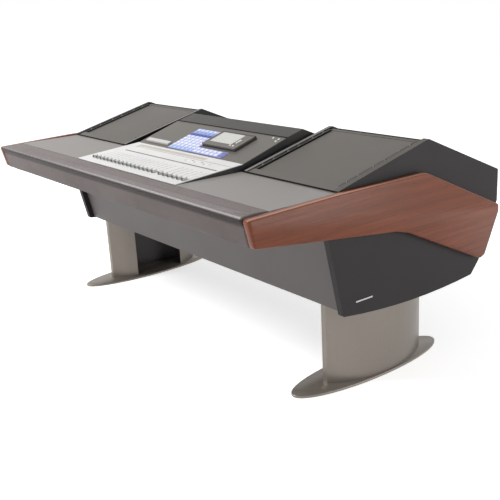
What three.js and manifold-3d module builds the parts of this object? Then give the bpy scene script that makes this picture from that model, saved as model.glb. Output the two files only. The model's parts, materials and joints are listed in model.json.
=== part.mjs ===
// Studio desk: a padded armrest, two sloped rack modules between wood ends, a closed cabinet on two
// steel legs, and a mixing console with sliding faders in the centre bay.
// Millimetres. +Z is up, +X is the user's right, and the user sits on the -Y side.
// The origin is on the floor, under the middle of the desk's box.
import * as THREE from "three";
import * as BufferGeometryUtils from "three/addons/utils/BufferGeometryUtils.js";
import Module from "manifold-3d";

const wasm = await Module();
wasm.setup();

// Overall sizes: the width follows from the console, its gaps and the two rack modules, and the work
// surface lies one cabinet rise above the foot of the apron
const deskDepth = 1262;
const apronFootZ = 328;
const cabinetRise = 446;
const moduleRise = 119;
const workHeight = apronFootZ + cabinetRise;
const frontY = -deskDepth / 2;
const rearY = deskDepth / 2;
const deskHeight = workHeight + moduleRise;

// Boards and clearances
const woodThickness = 32;
const sidePanelThickness = 25;
const cheekThickness = 18;
const desktopThickness = 22;
const trayThickness = 12;
const shelfThickness = 18;
const apronThickness = 18;
const floorThickness = 18;
const backThickness = 18;
const fasciaThickness = 18;
const moduleFrontThickness = 18;
const seatGap = 0.3;
const cutOverrun = 5;

// Rack modules: nine standard units between a front strip and a ridge strip, closed by a blank board
// that lies between the rails
const rackUnitHeight = 44.45;
const rackUnits = 9;
const rackOpening = 450;
const rackEar = 16.3;
const rackPanelWidth = rackOpening + 2 * rackEar;
const rackSideClearance = 0.45;
const rackFrontStrip = 35;
const rackRidgeStrip = 23;
const railRecess = 3;
const blankRecess = 9;
const blankThickness = 12;
const blankClearance = 0.5;
const stripRecess = 3;
const stripThickness = 24;
const coverRecess = 8;
const moduleLipRise = 8;
const moduleSetback = 408;

// Across the desk, from the middle outwards: the bay of the console, then a module on each side
const mixerWidth = 808;
const mixerLeftGap = 99.5;
const mixerRightGap = 29.5;
const bayHalf = (mixerLeftGap + mixerWidth + mixerRightGap) / 2;
const cheekOuter = bayHalf + cheekThickness;
const sideInner = cheekOuter + rackPanelWidth + 2 * rackSideClearance;
const halfBody = sideInner + sidePanelThickness;
const halfDesk = halfBody + woodThickness;
const moduleMiddle = (cheekOuter + sideInner) / 2;
const mixerLeft = mixerLeftGap - bayHalf;
const mixerRight = bayHalf - mixerRightGap;

// The front slope of a module, from its lip to its ridge
const rackLength = rackUnits * rackUnitHeight;
const slopeLength = rackFrontStrip + rackLength + rackRidgeStrip;
const slopeRise = moduleRise - moduleLipRise;
const slopeAngle = Math.asin(slopeRise / slopeLength);
const moduleFrontY = frontY + moduleSetback;
const slopeFootZ = workHeight + moduleLipRise;
const ridgeY = moduleFrontY + slopeLength * Math.cos(slopeAngle);

// The rear of the desk falls from the ridge, drops straight and then slants in to the cabinet
const rearFall = 179;
const rearDrop = 125;
const rearTopZ = deskHeight - rearFall;
const rearKneeZ = rearTopZ - rearDrop;
const backSlant = 0.46;
const backPanelGap = 14;
const coverThickness = 15;

// The cabinet under the tray: the side panels end in a heel at the rear and a toe below it
const apronFootY = -188;
const apronLean = 0.21;
const sideReveal = 27;
const cabinetToeShare = 0.381;
const cabinetToeDrop = 17.2;
const cabinetHeelShare = 0.417;
const cabinetHeelRise = 32.8;
const bottomSag = 22;
const sideCornerRadius = 9;
const ridgeCornerRadius = 12;

// Armrest
const padDepth = 111;
const padThickness = desktopThickness;
const padCrown = 4;
const padDrop = 102;
const padLean = 0.21;
const padLipThickness = 8;
const padEndShare = 0.5;
const padEndLength = 22;
const cleatDepth = 28;

// The tray under the work surface starts at the armrest's foot and slants down towards the rear
const trayFrontZ = workHeight - padDrop;
const trayFall = 0.124;

// Wood ends, as corners in shares of the desk's depth and height, with their rounding
const woodEdgeRadius = 6;
const woodCornerRadius = 12;
const woodPeakRadius = 110;
const woodPeakShares = [0.138, 0.8755];
const woodOutlineShares = [
  [0.477, 0.652], [0.4785, 0.62], [0.416, 0.438], [0.395, 0.427], [0.3415, 0.461], [0.0705, 0.643],
  [0.02, 0.664], [-0.4802, 0.753], [-0.4984, 0.8623], [-0.2, 0.8735],
];

// Legs: each is a bowed steel shell on an oval plate, open on its inner side for cables
const legSideInset = 121;
const legX = sideInner - legSideInset;
const legHalfLength = 254;
const legFrontInset = 9;
const legY = apronFootY + legFrontInset + legHalfLength;
const legBulge = 84;
const legEndHalf = 12;
const legFullness = 2.6;
const legWall = 4;
const legWindowHalf = 135;
const legFlange = 8;
const baseInset = 5;
const baseX = legX - baseInset;
const baseShift = 28;
const baseY = legY - baseShift;
const baseHalfWidth = 102;
const baseHalfLength = 381;
const baseThickness = 10;
const baseEdge = 2;
const cableHoleHalfWidth = 30;
const cableHoleHalfLength = 110;

// Mixing console
const mixerSink = 74;
const mixerBottomZ = workHeight - mixerSink;
const faderDeckDepth = 313;
const faderDeckRise = 24;
const controlDeckDepth = 222;
const controlDeckRise = 70;
const deckThickness = 3;
const deckEndInset = 1.5;
const chassisWall = 2;
const mixerFrontRise = 2;
const deskCutClearance = 5;
const mixerFrontGap = 2;

// Faders, which share the width that the insets and the gap leave
const channelFaders = 16;
const groupFaders = 6;
const faderLeftInset = 69;
const faderRightInset = 19;
const groupGap = 50;
const faderSpan = mixerWidth - faderLeftInset - groupGap - faderRightInset;
const faderPitch = faderSpan / (channelFaders + groupFaders - 2);
const faderTravel = 100;
const slotWidth = 3;
const slotEndClearance = 3;
const slotFrontInset = 46;
const capWidth = 13;
const capLength = 24;
const capHeight = 11;
const capDip = 3;
const capTopShare = 0.8;
const capLift = 0.6;
const stemWidth = 1.8;
const stemLength = 8;
const stemDrop = 12;

// Console keypad, strip holder and display
const keypadThickness = 2;
const keyRise = 2;
const keyGap = 5;
const keySize = [26, 15];
const keypadBorder = 5;
const rearBank = { x: 241, y: 6, columns: 6, rows: 9 };
const frontBank = { x: 427, y: 6, columns: 7, rows: 2 };
const stripHolder = { x: 38, y: 21, size: [186, 22], height: 8 };
const displayPlace = { x: 434, y: 68, size: [231, 122], height: 13 };
const screenInset = [14, 29];
const screenSize = [160, 86];
const screenDepth = 5;
const screenThickness = 3;

// Bridge behind the console, which falls to the rear in line with the modules
const bridgeFrontRise = 23;
const bridgeFrontDepth = 87;
const bridgeWall = 12;

// Small metal parts
const railThickness = 2;
const railLedge = 14;
const screwHoleRadius = 3.3;
const screwSetback = 7.55;
const threeUnitFirst = 37.7;
const threeUnitSpacing = 57.15;
const unitsPerStep = 3;
const badgeLength = 82;
const badgeHeight = 6;
const badgeThickness = 2;
const badgeRearY = -72;
const badgeZ = 368;

// Finishes
const finish = (color, roughness, metalness) =>
  new THREE.MeshStandardMaterial({ color, roughness, metalness });
const laminate = finish(0x8d8782, 0.55, 0);
const darkLaminate = finish(0x6a655f, 0.5, 0);
const charcoal = finish(0x434040, 0.6, 0);
const mahogany = finish(0x7d4534, 0.4, 0);
const vinyl = finish(0x5f5b5a, 0.5, 0);
const satinSteel = finish(0x857d74, 0.35, 0.7);
const plainSteel = finish(0x2a2a2b, 0.4, 0.8);
const brightSteel = finish(0xc9c9c8, 0.25, 0.9);
const deckWhite = finish(0xdfe0dd, 0.5, 0);
const holderWhite = finish(0xe6e6e2, 0.45, 0);
const deckGrey = finish(0x7d7873, 0.5, 0.2);
const consoleBlack = finish(0x232324, 0.5, 0.2);
const capGrey = finish(0x9b9c9c, 0.45, 0);
const keyBlue = finish(0xb9c3ee, 0.5, 0);
const screenGlass = finish(0xd6d8d2, 0.2, 0);

const desk = new THREE.Group();

const alongX = new THREE.Vector3(1, 0, 0);
const alongY = new THREE.Vector3(0, 1, 0);
const alongZ = new THREE.Vector3(0, 0, 1);

function addPiece(name, geometry, material, parent = desk) {
  const mesh = new THREE.Mesh(geometry, material);
  mesh.name = name;
  parent.add(mesh);
  return mesh;
}

// Booleans
function solidOf(geometry) {
  const bare = geometry.clone();
  bare.deleteAttribute("normal");
  bare.deleteAttribute("uv");
  const merged = BufferGeometryUtils.mergeVertices(bare);
  return new wasm.Manifold(new wasm.Mesh({
    numProp: 3,
    vertProperties: new Float32Array(merged.attributes.position.array),
    triVerts: new Uint32Array(merged.index.array),
  }));
}

function geometryOf(solid) {
  const mesh = solid.getMesh();
  const geometry = new THREE.BufferGeometry();
  geometry.setAttribute("position", new THREE.BufferAttribute(mesh.vertProperties, 3));
  geometry.setIndex(new THREE.BufferAttribute(mesh.triVerts, 1));
  return geometry;
}

const joined = (geometries) => geometryOf(geometries.map(solidOf).reduce((whole, next) => whole.add(next)));
const cutFrom = (geometry, cuts) =>
  geometryOf(cuts.map(solidOf).reduce((whole, next) => whole.subtract(next), solidOf(geometry)));

// A box given by its lowest and highest corners
function block(low, high) {
  const size = high.map((value, axis) => value - low[axis]);
  const geometry = new THREE.BoxGeometry(...size);
  return geometry.translate(...low.map((value, axis) => value + size[axis] / 2));
}

// A cylinder whose axis is Z, from one height to another
function post(radius, x, y, fromZ, toZ, sides) {
  const geometry = new THREE.CylinderGeometry(radius, radius, toZ - fromZ, sides);
  return geometry.rotateX(Math.PI / 2).translate(x, y, (fromZ + toZ) / 2);
}

// A side outline of (y, z) points, drawn out along X
function drawnAcross(outline, fromX, toX, edge = 0) {
  const shape = new THREE.Shape(outline.map(([y, z]) => new THREE.Vector2(y, z)));
  const geometry = new THREE.ExtrudeGeometry(shape, {
    depth: toX - fromX - 2 * edge,
    bevelEnabled: edge > 0,
    bevelThickness: edge,
    bevelSize: edge,
    bevelOffset: -edge,
    bevelSegments: 2,
  });
  geometry.applyMatrix4(new THREE.Matrix4().makeBasis(alongY, alongZ, alongX));
  return geometry.translate(fromX + edge, 0, 0);
}

// The same outline on one side of the desk: side is -1 for the left and 1 for the right
function drawnOnSide(outline, side, nearX, farX, edge = 0) {
  return drawnAcross(outline, Math.min(side * nearX, side * farX), Math.max(side * nearX, side * farX), edge);
}

// Rounds an outline's corners, each given as [y, z, radius]
function roundedOutline(corners, steps = 4) {
  const outline = [];
  corners.forEach(([y, z, radius = 0], index) => {
    const corner = new THREE.Vector2(y, z);
    const before = new THREE.Vector2(...corners.at(index - 1)).sub(corner);
    const after = new THREE.Vector2(...corners[(index + 1) % corners.length]).sub(corner);
    const halfAngle = Math.acos(before.clone().normalize().dot(after.clone().normalize())) / 2;
    const reach = Math.min(radius / Math.tan(halfAngle), before.length() / 2, after.length() / 2);
    if (reach <= seatGap) {
      outline.push([y, z]);
      return;
    }
    const start = corner.clone().add(before.setLength(reach));
    const end = corner.clone().add(after.setLength(reach));
    const curve = new THREE.QuadraticBezierCurve(start, corner, end);
    curve.getPoints(steps).forEach((point) => outline.push([point.x, point.y]));
  });
  return outline;
}

// Points of an open line moved to its left by a distance, with its bends mitred
function shifted(line, distance) {
  return line.map(([y, z], index) => {
    const here = new THREE.Vector2(y, z);
    const incoming = index > 0 ? here.clone().sub(new THREE.Vector2(...line[index - 1])).normalize() : null;
    const outgoing = index < line.length - 1
      ? new THREE.Vector2(...line[index + 1]).sub(here).normalize() : null;
    const first = incoming ?? outgoing;
    const second = outgoing ?? incoming;
    const normal = new THREE.Vector2(-first.y - second.y, first.x + second.x).normalize();
    const reach = distance / normal.dot(new THREE.Vector2(-first.y, first.x));
    return [y + normal.x * reach, z + normal.y * reach];
  });
}

// The outline of a folded board between two distances below a line that runs to the rear
const foldedBoard = (line, near, far) => [...shifted(line, -near), ...shifted(line, -far).reverse()];

// Heights and depths that several pieces share
const slopePoint = (along) =>
  [moduleFrontY + along * Math.cos(slopeAngle), slopeFootZ + along * Math.sin(slopeAngle)];
const trayUnderZ = (y) => trayFrontZ - trayFall * (y - frontY);
const trayTopZ = (y) => trayUnderZ(y) + trayThickness;
const backFaceY = (z) => rearY - backSlant * (rearKneeZ - z);
const backInset = (coverRecess + backThickness) * Math.hypot(1, backSlant);
const apronFaceY = (z) => apronFootY - apronLean * (z - apronFootZ);
const deskShare = ([y, z]) => [y * deskDepth, z * deskHeight];
const desktopUnder = workHeight - desktopThickness;
const padRearY = frontY + padDepth;
const padNoseY = frontY + padThickness;
const padFootY = padNoseY + padLean * (padDrop - padThickness);
const padFootZ = workHeight - padDrop;
const fasciaBackY = padFootY + fasciaThickness;

// Wood ends
for (const [name, side] of [["left_wood_end", -1], ["right_wood_end", 1]]) {
  const corners = woodOutlineShares.map((share) => [...deskShare(share), woodCornerRadius]);
  corners.push([...deskShare(woodPeakShares), woodPeakRadius]);
  const outline = roundedOutline(corners);
  addPiece(name, drawnOnSide(outline, side, halfBody, halfDesk, woodEdgeRadius), mahogany);
}

// Side panels: the arm beside the work surface, the module's outer cheek and the cabinet side in one board
const cleatTopZ = desktopUnder;
const cleatUnderZ = cleatTopZ - fasciaThickness;
const cleatRearY = padRearY + cleatDepth;
const apronTopZ = (trayUnderZ(apronFootY) + trayFall * apronLean * -apronFootZ) / (1 + trayFall * -apronLean);

function sidePanelOutline() {
  const armFrontY = fasciaBackY + seatGap;
  const heel = [cabinetHeelShare * deskDepth, apronFootZ + cabinetHeelRise];
  const toe = [cabinetToeShare * deskDepth, apronFootZ - cabinetToeDrop];
  const front = [apronFootY - sideReveal, apronFootZ - seatGap];
  const sag = new THREE.QuadraticBezierCurve(
    new THREE.Vector2(...toe),
    new THREE.Vector2((toe[0] + front[0]) / 2, (toe[1] + front[1]) / 2 - 2 * bottomSag),
    new THREE.Vector2(...front),
  );
  const bottom = sag.getPoints(8).slice(1, -1).map((point) => [point.x, point.y]);
  const frontTopY = apronFaceY(apronTopZ) - sideReveal;
  return roundedOutline([
    [armFrontY, trayUnderZ(armFrontY) + seatGap],
    [armFrontY, cleatUnderZ - seatGap],
    [cleatRearY + seatGap, cleatUnderZ - seatGap],
    [cleatRearY + seatGap, desktopUnder],
    [moduleFrontY, desktopUnder],
    [moduleFrontY, slopeFootZ, moduleLipRise / 2],
    [ridgeY, deskHeight, ridgeCornerRadius],
    [rearY, rearTopZ, ridgeCornerRadius / 2],
    [rearY, rearKneeZ],
    [...heel, sideCornerRadius],
    [...toe, sideCornerRadius],
    ...bottom,
    [...front, sideCornerRadius],
    [frontTopY, trayUnderZ(frontTopY) + seatGap],
  ]);
}

for (const [name, side] of [["left_side_panel", -1], ["right_side_panel", 1]]) {
  addPiece(name, drawnOnSide(sidePanelOutline(), side, sideInner, halfBody), charcoal);
}

// Inner cheeks, between a module and the centre bay, standing on the tray
function innerCheekOutline() {
  const kneeInnerY = rearY - backInset - seatGap;
  const footY = backFaceY(trayTopZ(kneeInnerY)) - backInset - seatGap;
  return roundedOutline([
    [moduleFrontY, trayTopZ(moduleFrontY) + seatGap],
    [moduleFrontY, slopeFootZ, moduleLipRise / 2],
    [ridgeY, deskHeight, ridgeCornerRadius],
    [rearY, rearTopZ, ridgeCornerRadius / 2],
    [rearY, rearKneeZ],
    [kneeInnerY, rearKneeZ],
    [footY, trayTopZ(footY) + seatGap],
  ]);
}

for (const [name, side] of [["left_inner_cheek", -1], ["right_inner_cheek", 1]]) {
  addPiece(name, drawnOnSide(innerCheekOutline(), side, bayHalf, cheekOuter), charcoal);
}

// Armrest: a pad that wraps the top and the front of a backing board
function padSection(fullness) {
  const rear = new THREE.Vector2(padRearY, desktopUnder);
  const nose = new THREE.Vector2(padNoseY, desktopUnder);
  const foot = new THREE.Vector2(padFootY, padFootZ);
  const thick = padThickness * fullness;
  const crown = padCrown * fullness;
  const lean = foot.clone().sub(nose).normalize();
  const frontNormal = new THREE.Vector2(lean.y, -lean.x);
  const outline = [];
  const topSteps = 5;
  for (let step = 0; step <= topSteps; step += 1) {
    const share = step / topSteps;
    const point = rear.clone().lerp(nose, share);
    outline.push([point.x, point.y + thick + crown * Math.sin(Math.PI * share)]);
  }
  const noseSteps = 5;
  const turn = Math.PI / 2 + Math.atan(padLean);
  for (let step = 1; step < noseSteps; step += 1) {
    const angle = Math.PI / 2 + turn * (step / noseSteps);
    outline.push([nose.x + thick * Math.cos(angle), nose.y + thick * Math.sin(angle)]);
  }
  const frontSteps = 4;
  for (let step = 0; step <= frontSteps; step += 1) {
    const share = step / frontSteps;
    const taper = step === frontSteps ? padLipThickness / padThickness : 1;
    const reach = thick * taper + crown * Math.sin(Math.PI * share) / 2;
    const point = nose.clone().lerp(foot, share).addScaledVector(frontNormal, reach);
    outline.push([point.x, point.y]);
  }
  outline.push([foot.x, foot.y], [nose.x, nose.y], [rear.x, rear.y]);
  return outline;
}

// A skin through equal sections that stand square to X, closed by flat ends
function loftAcross(sections, places) {
  const count = sections[0].length;
  const positions = sections.flatMap((section, index) => section.flatMap(([y, z]) => [places[index], y, z]));
  const faces = [];
  for (let row = 0; row < sections.length - 1; row += 1) {
    for (let point = 0; point < count; point += 1) {
      const next = (point + 1) % count;
      const [a, b, c, d] = [row * count + point, row * count + next,
        (row + 1) * count + next, (row + 1) * count + point];
      faces.push([a, b, c], [a, c, d]);
    }
  }
  const last = (sections.length - 1) * count;
  const capOf = (section) =>
    THREE.ShapeUtils.triangulateShape(section.map(([y, z]) => new THREE.Vector2(y, z)), []);
  capOf(sections[0]).forEach(([a, b, c]) => faces.push([c, b, a]));
  capOf(sections.at(-1)).forEach(([a, b, c]) => faces.push([last + a, last + b, last + c]));
  const geometry = new THREE.BufferGeometry();
  geometry.setAttribute("position", new THREE.Float32BufferAttribute(positions, 3));
  geometry.setIndex(faces.flat());
  return geometry;
}

const padEnd = halfBody - seatGap;
const padEndSteps = 4;
const padPlaces = [];
const padSections = [];
for (let step = 0; step <= padEndSteps; step += 1) {
  const share = step / padEndSteps;
  padPlaces.push(-padEnd + padEndLength * (1 - Math.cos(share * Math.PI / 2)));
  padSections.push(padSection(padEndShare + (1 - padEndShare) * Math.sin(share * Math.PI / 2)));
}
addPiece("armrest_pad", loftAcross(
  [...padSections, ...padSections.toReversed()],
  [...padPlaces, ...padPlaces.toReversed().map((x) => -x)],
), vinyl);

// The pad's backing board, with a cleat under each desktop board
const desktopSpans = [
  ["left_desktop", -halfBody, mixerLeft - deskCutClearance],
  ["right_desktop", mixerRight + deskCutClearance, halfBody],
];
const backingOutline = [
  [padNoseY + seatGap, desktopUnder - seatGap],
  [padFootY + seatGap, padFootZ],
  [fasciaBackY, padFootZ],
  [fasciaBackY, cleatUnderZ],
  [padRearY, cleatUnderZ],
  [padRearY, desktopUnder - seatGap],
];
const cleats = desktopSpans.map(([, fromX, toX]) =>
  block([fromX, padRearY - cleatDepth, cleatUnderZ], [toX, cleatRearY, cleatTopZ - seatGap]));
addPiece("armrest_board", joined([drawnAcross(backingOutline, -halfBody, halfBody), ...cleats]), charcoal);

// Desktop boards beside the console
for (const [name, fromX, toX] of desktopSpans) {
  const low = [fromX, padRearY + seatGap, desktopUnder];
  addPiece(name, block(low, [toX, moduleFrontY, workHeight]), laminate);
}

// Tray floor, from the armrest's board to the back panel
const trayFrontY = fasciaBackY + seatGap;
const trayRearY = backFaceY(trayUnderZ(rearY)) - backInset - seatGap;
addPiece("tray_floor", drawnAcross([
  [trayFrontY, trayUnderZ(trayFrontY)],
  [trayRearY, trayUnderZ(trayRearY)],
  [trayRearY, trayTopZ(trayRearY)],
  [trayFrontY, trayTopZ(trayFrontY)],
], -sideInner, sideInner), charcoal);

// Module fronts: a board on the tray whose top edge is the front strip of the slope
const stripEnd = rackFrontStrip - seatGap;
const stripTop = shifted([slopePoint(0), slopePoint(stripEnd)], -stripRecess);
const stripUnder = shifted([slopePoint(0), slopePoint(stripEnd)], -stripRecess - stripThickness);
const moduleFrontBackY = moduleFrontY + moduleFrontThickness;
const moduleFrontOutline = [
  [moduleFrontY, trayTopZ(moduleFrontY) + seatGap],
  [moduleFrontY, slopeFootZ - stripRecess],
  stripTop[1],
  stripUnder[1],
  [moduleFrontBackY, stripUnder[0][1] + (moduleFrontBackY - stripUnder[0][0]) * Math.tan(slopeAngle)],
  [moduleFrontBackY, trayTopZ(moduleFrontBackY) + seatGap],
];
for (const [name, side] of [["left_module_front", -1], ["right_module_front", 1]]) {
  addPiece(name, drawnOnSide(moduleFrontOutline, side, cheekOuter, sideInner), laminate);
}

// Rear covers: the ridge strip, the rear slope and the straight drop in one folded board
const coverLine = [
  slopePoint(rackFrontStrip + rackLength + seatGap),
  [ridgeY, deskHeight],
  [rearY, rearTopZ],
  [rearY, rearKneeZ],
];
for (const [name, side] of [["left_rear_cover", -1], ["right_rear_cover", 1]]) {
  const outline = foldedBoard(coverLine, coverRecess, coverRecess + coverThickness);
  addPiece(name, drawnOnSide(outline, side, cheekOuter, sideInner), darkLaminate);
}

// Back panel of the cabinet, which starts a finger's gap below the covers
const floorTopZ = apronFootZ + floorThickness;
const backTopZ = rearKneeZ - backPanelGap;
const backFootZ = floorTopZ + backThickness;
const backLine = [[backFaceY(backTopZ), backTopZ], [backFaceY(backFootZ), backFootZ]];
addPiece("back_panel", drawnAcross(
  foldedBoard(backLine, coverRecess, coverRecess + backThickness), -sideInner, sideInner,
), charcoal);

// Apron and floor of the cabinet
const apronTopY = apronFaceY(apronTopZ);
addPiece("apron_panel", drawnAcross([
  [apronFootY, apronFootZ],
  [apronTopY, trayUnderZ(apronTopY) - seatGap - apronThickness * trayFall],
  [apronTopY + apronThickness, trayUnderZ(apronTopY + apronThickness) - seatGap],
  [apronFootY + apronThickness, apronFootZ],
], -sideInner, sideInner), charcoal);

const floorFrontY = apronFootY + apronThickness + seatGap;
const floorRearY = backFaceY(floorTopZ) - backInset - seatGap;
const cableHole = (x, fromZ, toZ) => block(
  [x - cableHoleHalfWidth, legY - cableHoleHalfLength, fromZ - cutOverrun],
  [x + cableHoleHalfWidth, legY + cableHoleHalfLength, toZ + cutOverrun],
);
addPiece("cabinet_floor", cutFrom(
  block([-sideInner, floorFrontY, apronFootZ], [sideInner, floorRearY, floorTopZ]),
  [-legX, legX].map((x) => cableHole(x, apronFootZ, floorTopZ)),
), charcoal);

// Leg shells, drawn in plan about their own centre and open towards the middle of the desk
const legSkin = (y, inset) =>
  legBulge - inset - (legBulge - legEndHalf) * Math.abs(y / legHalfLength) ** legFullness;

// Points of the bowed skin between two places along the leg
function skinPoints(fromY, toY, inset, side, steps) {
  return Array.from({ length: steps + 1 }, (_, step) => {
    const y = fromY + (toY - fromY) * step / steps;
    return [side * legSkin(y, inset), y];
  });
}

function legShellOutline(side) {
  const innerHalf = legHalfLength - legWall;
  return [
    ...skinPoints(-legHalfLength, legHalfLength, 0, side, 14),
    ...skinPoints(legHalfLength, legWindowHalf, 0, -side, 4),
    ...skinPoints(legWindowHalf, innerHalf, legWall, -side, 4),
    ...skinPoints(innerHalf, -innerHalf, legWall, side, 14),
    ...skinPoints(-innerHalf, -legWindowHalf, legWall, -side, 4),
    ...skinPoints(-legWindowHalf, -legHalfLength, 0, -side, 4),
  ];
}

function drawnUp(outline, fromZ, toZ) {
  const shape = new THREE.Shape(outline.map(([x, y]) => new THREE.Vector2(x, y)));
  const geometry = new THREE.ExtrudeGeometry(shape, { depth: toZ - fromZ, bevelEnabled: false });
  return geometry.translate(0, 0, fromZ);
}

const legTopZ = apronFootZ - seatGap;
for (const [name, side] of [["left_leg", -1], ["right_leg", 1]]) {
  const flangeOutline = [
    ...skinPoints(-legHalfLength, legHalfLength, 0, side, 14),
    ...skinPoints(legHalfLength, -legHalfLength, 0, -side, 14),
  ];
  const shell = drawnUp(legShellOutline(side), baseThickness, legTopZ);
  const flange = cutFrom(
    drawnUp(flangeOutline, legTopZ - legFlange, legTopZ), [cableHole(0, legTopZ - legFlange, legTopZ)
      .translate(0, -legY, 0)],
  );
  addPiece(name, joined([shell, flange]), satinSteel).position.set(side * legX, legY, 0);
}

// Oval base plates
for (const [name, side] of [["left_base", -1], ["right_base", 1]]) {
  const oval = new THREE.Shape().absellipse(0, 0, baseHalfWidth, baseHalfLength, 0, 2 * Math.PI);
  const plate = new THREE.ExtrudeGeometry(oval, {
    depth: baseThickness - 2 * baseEdge,
    curveSegments: 22,
    bevelThickness: baseEdge,
    bevelSize: baseEdge,
    bevelOffset: -baseEdge,
    bevelSegments: 1,
  }).translate(0, 0, baseEdge);
  addPiece(name, plate, satinSteel).position.set(side * baseX, baseY, 0);
}

// The slope of a module: X across, Y up the slope, Z out of it
const moduleSlope = new THREE.Group();
moduleSlope.position.set(0, moduleFrontY, slopeFootZ);
moduleSlope.rotation.x = slopeAngle;
desk.add(moduleSlope);

const slopeLow = rackFrontStrip;
const slopeHigh = rackFrontStrip + rackLength;
const screwRows = [];
for (let unit = 0; unit + unitsPerStep <= rackUnits; unit += unitsPerStep) {
  const first = slopeLow + unit * rackUnitHeight + threeUnitFirst;
  screwRows.push(first, first + threeUnitSpacing);
}

// Blank boards, which lie on the ledges of the rails
const blankHalf = rackOpening / 2 - blankClearance;
for (const [name, side] of [["left_rack_cover", -1], ["right_rack_cover", 1]]) {
  const middle = side * moduleMiddle;
  addPiece(name, block(
    [middle - blankHalf, slopeLow + seatGap, -blankRecess - blankThickness],
    [middle + blankHalf, slopeHigh - seatGap, -blankRecess],
  ), darkLaminate, moduleSlope);
}

// Rack rails: a drilled face beside the opening, a web on the cheek and a ledge under the blank board
function rackRail(side, edge) {
  const middle = side * moduleMiddle;
  const wallX = middle + edge * ((sideInner - cheekOuter) / 2 - seatGap);
  const faceX = middle + edge * rackOpening / 2;
  const ledgeX = faceX - edge * railLedge;
  const ledgeTop = -blankRecess - blankThickness - seatGap;
  const plate = (farX, fromZ, toZ) =>
    block([Math.min(wallX, farX), slopeLow, fromZ], [Math.max(wallX, farX), slopeHigh, toZ]);
  const face = plate(faceX, -railRecess - railThickness, -railRecess);
  const web = plate(wallX - edge * railThickness, ledgeTop - railThickness, -railRecess);
  const ledge = plate(ledgeX, ledgeTop - railThickness, ledgeTop);
  const screwX = faceX + edge * screwSetback;
  const holes = screwRows.map((row) => post(
    screwHoleRadius, screwX, row, -railRecess - railThickness - cutOverrun, -railRecess + cutOverrun, 8,
  ));
  return cutFrom(joined([face, web, ledge]), holes);
}

for (const [name, side] of [["left", -1], ["right", 1]]) {
  addPiece(`${name}_outer_rail`, rackRail(side, side), plainSteel, moduleSlope);
  addPiece(`${name}_inner_rail`, rackRail(side, -side), plainSteel, moduleSlope);
}

// Shelf that carries the console, between the inner cheeks
const mixerFrontY = padRearY + mixerFrontGap;
const mixerMiddleY = mixerFrontY + faderDeckDepth;
const mixerRearY = mixerMiddleY + controlDeckDepth;
const bridgeFrontY = mixerRearY + seatGap;
const bridgeRidgeY = bridgeFrontY + bridgeFrontDepth;
const shelfTopZ = mixerBottomZ;
addPiece("mixer_shelf", block(
  [-bayHalf, fasciaBackY + seatGap, shelfTopZ - shelfThickness], [bayHalf, mixerRearY, shelfTopZ],
), charcoal);

// Console chassis: a sheet tub, open at the top under its two decks
const faderDeckZ = workHeight + mixerFrontRise;
const controlDeckZ = faderDeckZ + faderDeckRise;
const mixerRearZ = controlDeckZ + controlDeckRise;
const chassisTop = (z) => z - deckThickness - 2 * seatGap;
const chassisOutline = [
  [mixerFrontY, mixerBottomZ],
  [mixerFrontY, chassisTop(faderDeckZ)],
  [mixerMiddleY, chassisTop(controlDeckZ)],
  [mixerRearY, chassisTop(mixerRearZ)],
  [mixerRearY, mixerBottomZ],
];
addPiece("mixer_chassis", cutFrom(drawnAcross(chassisOutline, mixerLeft, mixerRight), [block(
  [mixerLeft + chassisWall, mixerFrontY + chassisWall, mixerBottomZ + chassisWall],
  [mixerRight - chassisWall, mixerRearY - chassisWall, mixerRearZ],
)]), consoleBlack);

// The decks' own frames: X from the console's left edge, Y up the deck, Z out of its face
function deckFrame(y, z, run, rise) {
  const frame = new THREE.Group();
  frame.position.set(mixerLeft, y, z);
  frame.rotation.x = Math.atan2(rise, run);
  desk.add(frame);
  return { frame, length: Math.hypot(run, rise) };
}

const faderDeck = deckFrame(mixerFrontY, faderDeckZ, faderDeckDepth, faderDeckRise);
const controlDeck = deckFrame(mixerMiddleY, controlDeckZ, controlDeckDepth, controlDeckRise);

// Faders
const faderColumns = [];
for (let index = 0; index < channelFaders; index += 1) {
  faderColumns.push([`channel_fader_${index + 1}`, faderLeftInset + index * faderPitch]);
}
const groupFirst = faderLeftInset + (channelFaders - 1) * faderPitch + groupGap;
for (let index = 0; index < groupFaders; index += 1) {
  faderColumns.push([`group_fader_${index + 1}`, groupFirst + index * faderPitch]);
}
const slotLength = faderTravel + stemLength + 2 * slotEndClearance;
const slotFor = (x) => block(
  [x - slotWidth / 2, slotFrontInset, -deckThickness - cutOverrun],
  [x + slotWidth / 2, slotFrontInset + slotLength, cutOverrun],
);
const deckPlate = (length) =>
  block([0, seatGap, -deckThickness - seatGap], [mixerWidth, length - deckEndInset, -seatGap]);
addPiece("fader_deck", cutFrom(deckPlate(faderDeck.length), faderColumns.map(([, x]) => slotFor(x))),
  deckWhite, faderDeck.frame);

// A fader's cap with its stem, at the near end of its slot
function faderCap(x) {
  const middle = slotFrontInset + slotEndClearance + stemLength / 2;
  const half = capLength / 2;
  const profile = [
    [middle - half, capLift],
    [middle - half * capTopShare, capLift + capHeight],
    [middle, capLift + capHeight - capDip],
    [middle + half * capTopShare, capLift + capHeight],
    [middle + half, capLift],
  ];
  const cap = drawnAcross(profile, x - capWidth / 2, x + capWidth / 2);
  const stem = block(
    [x - stemWidth / 2, middle - stemLength / 2, -stemDrop],
    [x + stemWidth / 2, middle + stemLength / 2, capHeight / 2],
  );
  return joined([cap, stem]);
}
for (const [name, x] of faderColumns) {
  addPiece(name, faderCap(x), capGrey, faderDeck.frame);
}

// Control deck
addPiece("control_deck", deckPlate(controlDeck.length), deckGrey, controlDeck.frame);

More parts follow.
